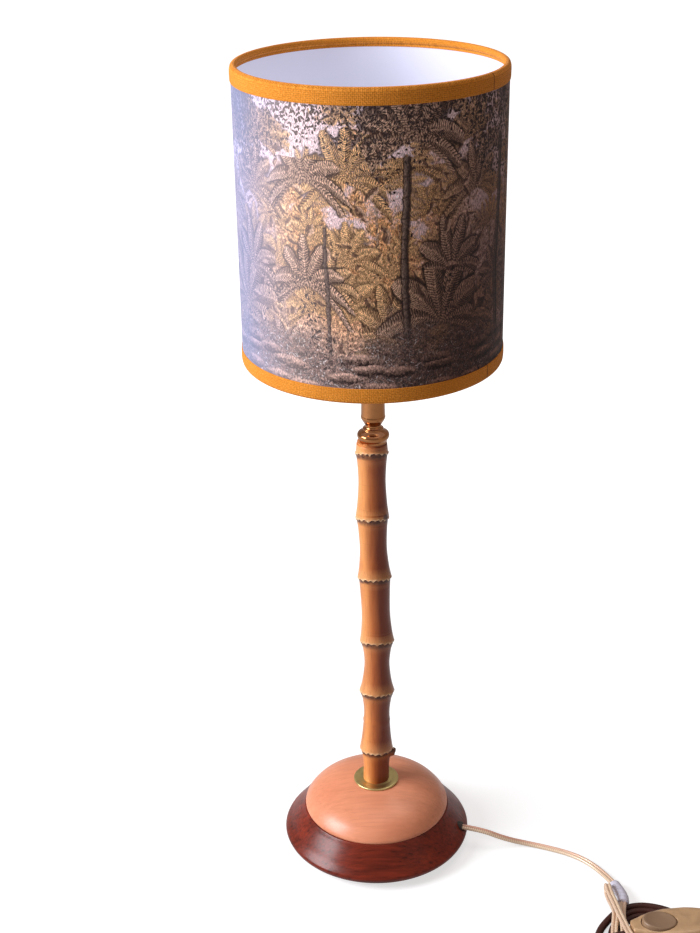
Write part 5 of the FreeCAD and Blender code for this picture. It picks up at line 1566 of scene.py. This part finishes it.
class LAMP_OT_holder(bpy.types.Operator):
    """Lampholder's cap and threaded shell, and the two rings that clamp the shade"""

    bl_idname = "lamp.holder"
    bl_label = "Lampholder"

    def execute(self, context):
        side = eased([(9.3, 420.5), (9.7, 422.6), (11.2, 426.4), (12.9, 430.0), (13.8, 433.0), (14.0, 435.6)], 5)
        inside = eased([(12.9, 434.5), (11.9, 431.4), (10.2, 428.8), (8.7, 427.5)], 5)
        cap = turned(closed([(5.3, 420.5), *side, (14.0, 438.3), (12.9, 438.5), *inside, (5.3, 427.5)]))
        smoothed(cap, 40.0)
        settle(cap, "holder_hood", "lamp", "brass_polished", "holder_cap")
        settle(self.threaded_shell(), "holder_sleeve", "lamp", "white_plastic", "holder_shell")
        for name, node, foot, flange_up in (("clamp_ring_low", "shade_ring_lower", 456.0, True),
                                            ("clamp_ring_high", "shade_ring_upper", 461.9, False)):
            settle(self.clamp_ring(foot, flange_up), name, "lamp", "white_plastic", node)
        return {"FINISHED"}

    def threaded_shell(self):
        """Sleeve whose outside carries the coarse thread that the clamp rings turn on."""
        wall = [(13.55 + 0.45 * math.cos((z - 441.0) / 1.1 * math.pi), z) for z in
                [441.0 + 0.22 * step for step in range(145)]]
        piece = turned(closed([(12.9, 438.5), (14.0, 438.5), *wall, (13.6, 474.2), (13.3, 474.5), (12.9, 474.5)]), 96)
        smoothed(piece, 50.0)
        return piece

    def clamp_ring(self, foot, flange_up):
        outline = [(14.15, 0.0), (16.6, 0.0), (17.0, 0.3), (17.3, 2.0), (20.1, 2.2), (20.5, 2.6), (20.5, 4.1),
                   (20.1, 4.5), (14.15, 4.5)]
        if not flange_up:
            outline = [(r, 4.5 - z) for r, z in reversed(outline)]
        piece = turned(closed([(r, foot + z) for r, z in outline]), 96)
        for vertex in piece.data.vertices:
            radius = math.hypot(vertex.co.x, vertex.co.y)
            if radius > 0.0200:
                azimuth = math.atan2(vertex.co.y, vertex.co.x)
                notch = 0.35 * MM * max(0.0, math.cos(azimuth * 24)) ** 2
                vertex.co.x -= notch * math.cos(azimuth)
                vertex.co.y -= notch * math.sin(azimuth)
        smoothed(piece, 40.0)
        return piece


class LAMP_OT_shade(bpy.types.Operator):
    """Printed cover, white lining and the two mustard trims of the drum shade"""

    bl_idname = "lamp.shade"
    bl_label = "Shade"

    SEAM = math.radians(-18.6)

    def execute(self, context):
        cover = self.wall(99.6, 100.0)
        self.overlap(cover)
        cloth_map(cover, 100.0)
        smoothed(cover, 60.0)
        settle(cover, "cover", "lamp", "printed_fabric", "shade_cover")
        lining = self.wall(99.0, 99.58)
        cloth_map(lining, 99.0)
        smoothed(lining, 60.0)
        settle(lining, "lining", "lamp", "lining_white", "shade_lining")
        for name, node, edge, way in (("trim_top", "shade_trim_top", SHADE_TOP, 1),
                                      ("trim_bottom", "shade_trim_bottom", SHADE_FOOT, -1)):
            trim = self.tape(edge, way)
            cloth_map(trim, 100.0, way)
            smoothed(trim, 60.0)
            settle(trim, name, "lamp", "mustard_trim", node)
        return {"FINISHED"}

    def wall(self, inner, outer):
        foot, top = SHADE_FOOT + 2.6, SHADE_TOP - 2.6
        rows = 24
        levels = [foot + (top - foot) * step / rows for step in range(rows + 1)]
        profile = [(outer, z) for z in levels] + [(inner, z) for z in reversed(levels)]
        piece = turned(closed(profile), 192)
        for vertex in piece.data.vertices:
            radius = math.hypot(vertex.co.x, vertex.co.y)
            azimuth = math.atan2(vertex.co.y, vertex.co.x)
            level = vertex.co.z / MM
            belly = math.sin((level - foot) / (top - foot) * math.pi)
            off = -0.16 * belly * (0.6 + 0.4 * math.sin(azimuth * 3 + 0.8)) * MM
            vertex.co.x *= (radius + off) / radius
            vertex.co.y *= (radius + off) / radius
        return piece

    def overlap(self, piece):
        """Raise the outer face on one side of the cover's upright seam."""
        for vertex in piece.data.vertices:
            radius = math.hypot(vertex.co.x, vertex.co.y)
            azimuth = math.atan2(vertex.co.y, vertex.co.x)
            past = azimuth - self.SEAM
            if radius > 0.0997 and -0.001 < past < 0.10:
                rise = 0.28 * MM * (1 - past / 0.10)
                vertex.co.x *= (radius + rise) / radius
                vertex.co.y *= (radius + rise) / radius

    def tape(self, edge, way):
        """Folded tape: outside face, rounded fold over the wire, and the turn-in."""
        outside = eased([(100.15, 11.9), (100.62, 11.4), (100.72, 8.0), (100.74, 4.6), (100.5, 2.4), (99.9, 1.0),
                         (98.9, 0.22), (97.6, 0.0), (96.6, 0.22), (95.75, 1.0), (95.35, 2.3), (95.6, 3.6),
                         (96.6, 4.6), (97.9, 5.4), (98.3, 7.4)], 4)
        back = [(98.98, 7.5), (98.98, 5.35), (97.5, 4.0), (96.5, 3.2), (96.1, 2.0), (96.6, 1.15), (97.6, 0.85),
                (98.6, 0.9), (100.0, 1.6), (100.02, 11.95)]
        profile = [(r, edge - way * z) for r, z in [*outside, *back]]
        piece = turned(closed(profile), 192)
        end = math.radians(-31.0)
        for vertex in piece.data.vertices:
            radius = math.hypot(vertex.co.x, vertex.co.y)
            azimuth = math.atan2(vertex.co.y, vertex.co.x)
            past = azimuth - end
            pucker = 0.05 * math.sin(azimuth * 53) + 0.04 * math.sin(azimuth * 31 + 1.0)
            if radius > 0.1001:
                off = pucker * MM
                if -0.002 < past < 0.11:
                    off += 0.4 * MM * (1 - max(0.0, past) / 0.11)
                vertex.co.x *= (radius + off) / radius
                vertex.co.y *= (radius + off) / radius
        return piece


class LAMP_OT_bulb(bpy.types.Operator):
    """Frosted bulb with a screw cap"""

    bl_idname = "lamp.bulb"
    bl_label = "Bulb"

    def execute(self, context):
        cap_foot, cap_top = 448.5, 468.5
        centre = 445.3 + 78.0 - 22.5
        outer = [(8.4, cap_top), (9.0, cap_top + 2.2), (10.6, cap_top + 6.5), (13.9, cap_top + 12.0), (17.6, cap_top + 17.5),
                 (20.4, centre - 9.4), (22.2, centre - 3.6), (22.5, centre), (21.6, centre + 6.4), (18.9, centre + 12.2),
                 (14.5, centre + 17.2), (8.6, centre + 20.8), (3.2, centre + 22.27), (0.0, centre + 22.5)]
        skin = eased(outer, 5)
        inner = [(max(0.0, r - 0.8), z if r > 3.5 else z - 0.8) for r, z in reversed(skin)]
        inner[0] = (0.0, centre + 21.7)
        glass = turned(closed([*skin, *inner]), 96)
        smoothed(glass, 60.0)
        settle(glass, "bulb_envelope", "bulb", "frosted_glass", "bulb_glass")
        settle(self.screw_cap(cap_foot, cap_top), "screw_cap", "bulb", "cap_aluminium", "bulb_cap")
        return {"FINISHED"}

    def screw_cap(self, foot, top):
        levels = [foot + 1.6 + 0.2 * step for step in range(70)]
        wall = [(6.6, z) for z in levels]
        profile = [(5.8, foot), (6.3, foot), (6.5, foot + 0.8), *wall, (6.9, top - 3.4), (7.6, top - 2.4), (8.6, top - 0.2),
                   (8.5, top), (7.9, top - 0.6), (6.45, top - 3.6), (6.2, foot + 1.0), (5.8, foot + 0.6)]
        piece = turned(closed(profile), 96)
        pitch = sizes().thread_pitch
        for vertex in piece.data.vertices:
            radius = math.hypot(vertex.co.x, vertex.co.y)
            level = vertex.co.z / MM
            if radius > 0.00655 and levels[0] - 0.01 < level < levels[-1] + 0.01:
                azimuth = math.atan2(vertex.co.y, vertex.co.x)
                fade = min(1.0, (level - levels[0]) / 1.2, (levels[-1] - level) / 1.2)
                thread = 0.33 * MM * math.sin(vertex.co.z / pitch * math.tau - azimuth) * fade
                vertex.co.x *= (radius + thread) / radius
                vertex.co.y *= (radius + thread) / radius
        smoothed(piece, 60.0)
        return piece


class LAMP_OT_switch(bpy.types.Operator):
    """Two shells and the dished rocker of the in-line switch"""

    bl_idname = "lamp.switch"
    bl_label = "Switch"

    HALF = 38.5
    SPLIT = 7.2
    PLACE = Matrix.Translation(Vector(SWITCH_PLACE) * MM) @ Matrix.Rotation(SWITCH_TURN, 4, "Z")

    def execute(self, context):
        upper = self.shell(True)
        self.cut_opening(upper)
        lower = self.shell(False)
        for piece in (upper, lower):
            for side in (-1, 1):
                carve(piece, self.cord_hole(side))
        for side in (-1, 1):
            carve(lower, drum(2.6, -1.0, 1.0, 12.0, side * 9.5))
            carve(lower, drum(1.4, -1.0, 9.0, 12.0, side * 9.5))
        for piece, name, node in ((upper, "switch_top", "switch_upper_shell"),
                                  (lower, "switch_bottom", "switch_lower_shell")):
            rounded_edges(piece, 0.35, 42.0, 2)
            smoothed(piece, 38.0)
            laid(piece, self.PLACE)
            settle(piece, name, "lamp", "switch_gold", node)
        self.add_rocker()
        return {"FINISHED"}

    def half_width(self, along, inset):
        """Plan of the switch: straight sides that curve in to its two noses."""
        share = abs(along) / self.HALF
        if share <= 0.22:
            return 16.5 - inset
        t = (share - 0.22) / 0.78
        return 16.5 + (6.4 - 16.5) * (0.62 * t * t + 0.38 * t) - inset

    def height(self, along, inset):
        share = abs(along) / self.HALF
        if share <= 0.72:
            return 15.5 - 0.45 * (share / 0.72) ** 2 - inset
        t = min(1.0, (share - 0.72) / 0.12)
        return 15.05 - 0.6 * (t * t * (3 - 2 * t)) - inset

    def loft(self, inset):
        """Solid form of the switch, pushed out from one nose to the other section by section."""
        end = self.HALF - inset
        stations = [-end, -end + 0.5]
        stations += [-end * s for s in (0.95, 0.90, 0.86, 0.83, 0.80, 0.77, 0.74, 0.71, 0.66, 0.58, 0.50,
                                              0.42, 0.34, 0.27, 0.22, 0.12, 0.0)]
        stations += [-s for s in reversed(stations[:-1])]
        clear_selection()
        bpy.ops.mesh.primitive_circle_add(vertices=56, radius=1.0, fill_type="NGON")
        piece = bpy.context.object
        start = stations[0]
        wide, tall = self.half_width(start, inset) * 0.93, self.height(start, inset)
        foot = inset
        for vertex in piece.data.vertices:
            c, s = vertex.co.x, vertex.co.y
            power = 2 / (5.5 if s > 0 else 9.0)
            across = math.copysign(abs(c) ** power, c)
            level = math.copysign(abs(s) ** power, s)
            vertex.co = (start * MM, across * wide * MM, (foot + (tall - foot) * (level + 1) / 2) * MM)
        bpy.ops.object.mode_set(mode="EDIT")
        bpy.ops.mesh.select_all(action="SELECT")
        for station in stations[1:]:
            ends = 0.93 if abs(station) == end else 1.0
            next_wide = self.half_width(station, inset) * ends
            next_tall = self.height(station, inset)
            bpy.ops.mesh.extrude_region_move(TRANSFORM_OT_translate={"value": ((station - start) * MM, 0.0, 0.0)})
            bpy.ops.transform.resize(value=(1.0, next_wide / wide, (next_tall - foot) / (tall - foot)),
                                     center_override=(station * MM, 0.0, foot * MM))
            start, wide, tall = station, next_wide, next_tall
        bpy.ops.mesh.select_all(action="SELECT")
        bpy.ops.mesh.normals_make_consistent(inside=False)
        bpy.ops.object.mode_set(mode="OBJECT")
        return piece

    def shell(self, above):
        """Half of the switch's form, above or below its parting line, hollowed by the same form made smaller."""
        outer = self.loft(0.0)
        bpy.ops.object.mode_set(mode="EDIT")
        bpy.ops.mesh.select_all(action="SELECT")
        bpy.ops.mesh.bisect(plane_co=(0.0, 0.0, self.SPLIT * MM), plane_no=(0.0, 0.0, 1.0), use_fill=True,
                            clear_inner=above, clear_outer=not above)
        bpy.ops.mesh.select_all(action="SELECT")
        bpy.ops.mesh.normals_make_consistent(inside=False)
        bpy.ops.object.mode_set(mode="OBJECT")
        return carve(outer, self.loft(1.6))

    def cord_hole(self, side):
        hole = drum(3.1, 36.0, 40.0)
        return laid(hole, Matrix.Translation((0.0, 0.0, 5.2 * MM)) @ Matrix.Rotation(side * math.pi / 2, 4, "Y"))

    def cut_opening(self, upper):
        """Oval opening with a shallow raised lip round it."""
        hole = drum(1.0, 7.3, 22.0, sides=72)
        for vertex in hole.data.vertices:
            vertex.co.x = vertex.co.x * 14.85 + ROCKER_ALONG * MM
            vertex.co.y *= 11.4
        carve(upper, hole)

    def add_rocker(self):
        """Oval rocker with a dished face, its boss and its two trunnions."""
        top = 17.0
        face = eased([(0.0, top - 0.95), (0.25, top - 0.9), (0.5, top - 0.68), (0.7, top - 0.34), (0.84, top - 0.06)], 4)
        edge = eased([(0.88, top), (0.93, top - 0.05), (0.975, top - 0.42), (1.0, top - 1.1)], 3)
        inside = [(0.885, 10.3), (0.885, top - 2.2), (0.6, top - 2.6), (0.0, top - 2.6)]
        piece = turned([(r * 10.0, z) for r, z in [*face, *edge, (1.0, 10.2), *inside]], 96)
        piece.data.transform(Matrix.Diagonal((1.425, 1.08, 1.0, 1.0)))
        boss = drum(2.75, 9.0, 15.2)
        carve(boss, drum(1.65, 8.0, 15.0))
        parts = [piece, boss]
        for side in (-1, 1):
            trunnion = drum(1.2, 9.2, 12.8)
            laid(trunnion, Matrix.Translation((0.0, 0.0, ROCKER_PIVOT * MM)) @ Matrix.Rotation(-side * math.pi / 2, 4, "X"))
            parts.append(trunnion)
        rocker = joined(*parts)
        tilt = Matrix.Translation((0.0, 0.0, ROCKER_PIVOT * MM)) @ Matrix.Rotation(ROCKER_TILT, 4, "Y")
        tilt = tilt @ Matrix.Translation((0.0, 0.0, -ROCKER_PIVOT * MM))
        laid(rocker, self.PLACE @ Matrix.Translation((ROCKER_ALONG * MM, 0.0, 0.0)) @ tilt)
        smoothed(rocker, 40.0)
        settle(rocker, "rocker_cap", "rocker", "rocker_brown", "switch_rocker")


class LAMP_OT_plug(bpy.types.Operator):
    """Flat two-pin plug with its grooved strain relief"""

    bl_idname = "lamp.plug"
    bl_label = "Plug"

    def execute(self, context):
        x, y = PLUG_PLACE
        body = self.body()
        grip = self.relief_sleeve()
        for side in (-1, 1):
            socket = drum(2.02, 0.0, 9.0)
            laid(socket, axis_matrix((52.0, side * 9.3, 6.85), (1.0, 0.0, 0.0)))
            carve(body, socket)
        plug = joined(body, grip)
        laid(plug, Matrix.Translation((x * MM, y * MM, 0.0)))
        smoothed(plug, 36.0)
        settle(plug, "plug_moulding", "lamp", "plug_brown", "plug_body")
        return {"FINISHED"}

    def body(self):
        """Moulded body: narrow at the cord, full width at the face, with a thumb hollow on each side."""
        stations = ((24.0, 0.40), (24.6, 0.44), (27.0, 0.50), (31.0, 0.62), (36.0, 0.78), (41.0, 0.90), (46.0, 0.955),
                    (51.0, 0.985), (56.0, 1.0), (59.2, 0.99), (60.0, 0.955))
        clear_selection()
        bpy.ops.mesh.primitive_circle_add(vertices=48, radius=1.0, fill_type="NGON")
        piece = bpy.context.object
        start, share = stations[0]
        half, thick = 17.65, 6.85
        for vertex in piece.data.vertices:
            c, s = vertex.co.x, vertex.co.y
            across = math.copysign(abs(c) ** 0.42, c)
            level = math.copysign(abs(s) ** 0.42, s)
            vertex.co = (start * MM, across * half * share * MM, (thick + level * thick * 0.86) * MM)
        bpy.ops.object.mode_set(mode="EDIT")
        bpy.ops.mesh.select_all(action="SELECT")
        tall = 0.86
        for station, next_share in stations[1:]:
            next_tall = 0.97 if station in (24.6, 60.0) else 1.0
            bpy.ops.mesh.extrude_region_move(TRANSFORM_OT_translate={"value": ((station - start) * MM, 0.0, 0.0)})
            bpy.ops.transform.resize(value=(1.0, next_share / share, next_tall / tall),
                                     center_override=(station * MM, 0.0, thick * MM))
            start, share, tall = station, next_share, next_tall
        bpy.ops.mesh.select_all(action="SELECT")
        bpy.ops.mesh.normals_make_consistent(inside=False)
        bpy.ops.object.mode_set(mode="OBJECT")
        return piece

    def relief_sleeve(self):
        """Tapered sleeve with flexing grooves round the cord."""
        outline = [(3.15, 0.3), (3.5, 0.0), (3.9, 0.2)]
        for ring in range(5):
            at = 1.0 + ring * 4.6
            outer = 3.95 + ring * 0.26
            outline += [(outer, at), (outer + 0.12, at + 2.6), (outer - 0.45, at + 3.1), (outer - 0.4, at + 4.1)]
        outline += [(5.2, 24.2), (5.2, 26.0), (3.15, 26.0)]
        piece = turned(closed(outline), 48)
        return laid(piece, axis_matrix((0.0, 0.0, 6.85), (1.0, 0.0, 0.0)))


class LAMP_OT_fittings(bpy.types.Operator):
    """Finishes of the solids that stay as they are: frames, pins, contacts, screws and wiring"""

    bl_idname = "lamp.fittings"
    bl_label = "Fittings"

    def execute(self, context):
        for subpart in frame["record"]["subparts"]:
            node = frame["nodes"][subpart["node"]]
            material = finish_for(subpart["material_slot"])
            for slot in node.material_slots:
                slot.material = material
            if not node.material_slots:
                node.data.materials.append(material)
        return {"FINISHED"}


STEPS = (LAMP_OT_stage, LAMP_OT_switch, LAMP_OT_plug, LAMP_OT_flex, LAMP_OT_lead, LAMP_OT_base, LAMP_OT_cane,
         LAMP_OT_brass, LAMP_OT_holder, LAMP_OT_shade, LAMP_OT_bulb, LAMP_OT_fittings)


class LAMP_PT_panel(bpy.types.Panel):
    """Lists the steps of the lamp and its sizes and colours"""

    bl_idname = "LAMP_PT_panel"
    bl_label = "Lamp"
    bl_space_type = "VIEW_3D"
    bl_region_type = "UI"
    bl_category = "Lamp"

    def draw(self, context):
        column = self.layout.column()
        for step in STEPS:
            column.operator(step.bl_idname)
        for holder in (context.scene.lamp_sizes, context.scene.lamp_colours):
            for key in holder.__annotations__:
                column.prop(holder, key)


CLASSES = (LampSizes, LampColours, *STEPS, LAMP_PT_panel)


def register():
    for each in CLASSES:
        bpy.utils.register_class(each)
    bpy.types.Scene.lamp_sizes = PointerProperty(type=LampSizes)
    bpy.types.Scene.lamp_colours = PointerProperty(type=LampColours)


def unregister():
    del bpy.types.Scene.lamp_colours
    del bpy.types.Scene.lamp_sizes
    for each in reversed(CLASSES):
        bpy.utils.unregister_class(each)


def main():
    register()
    for step in STEPS:
        group_name, step_name = step.bl_idname.split(".")
        getattr(getattr(bpy.ops, group_name), step_name)()
    clear_selection()


if __name__ == "__main__":
    main()
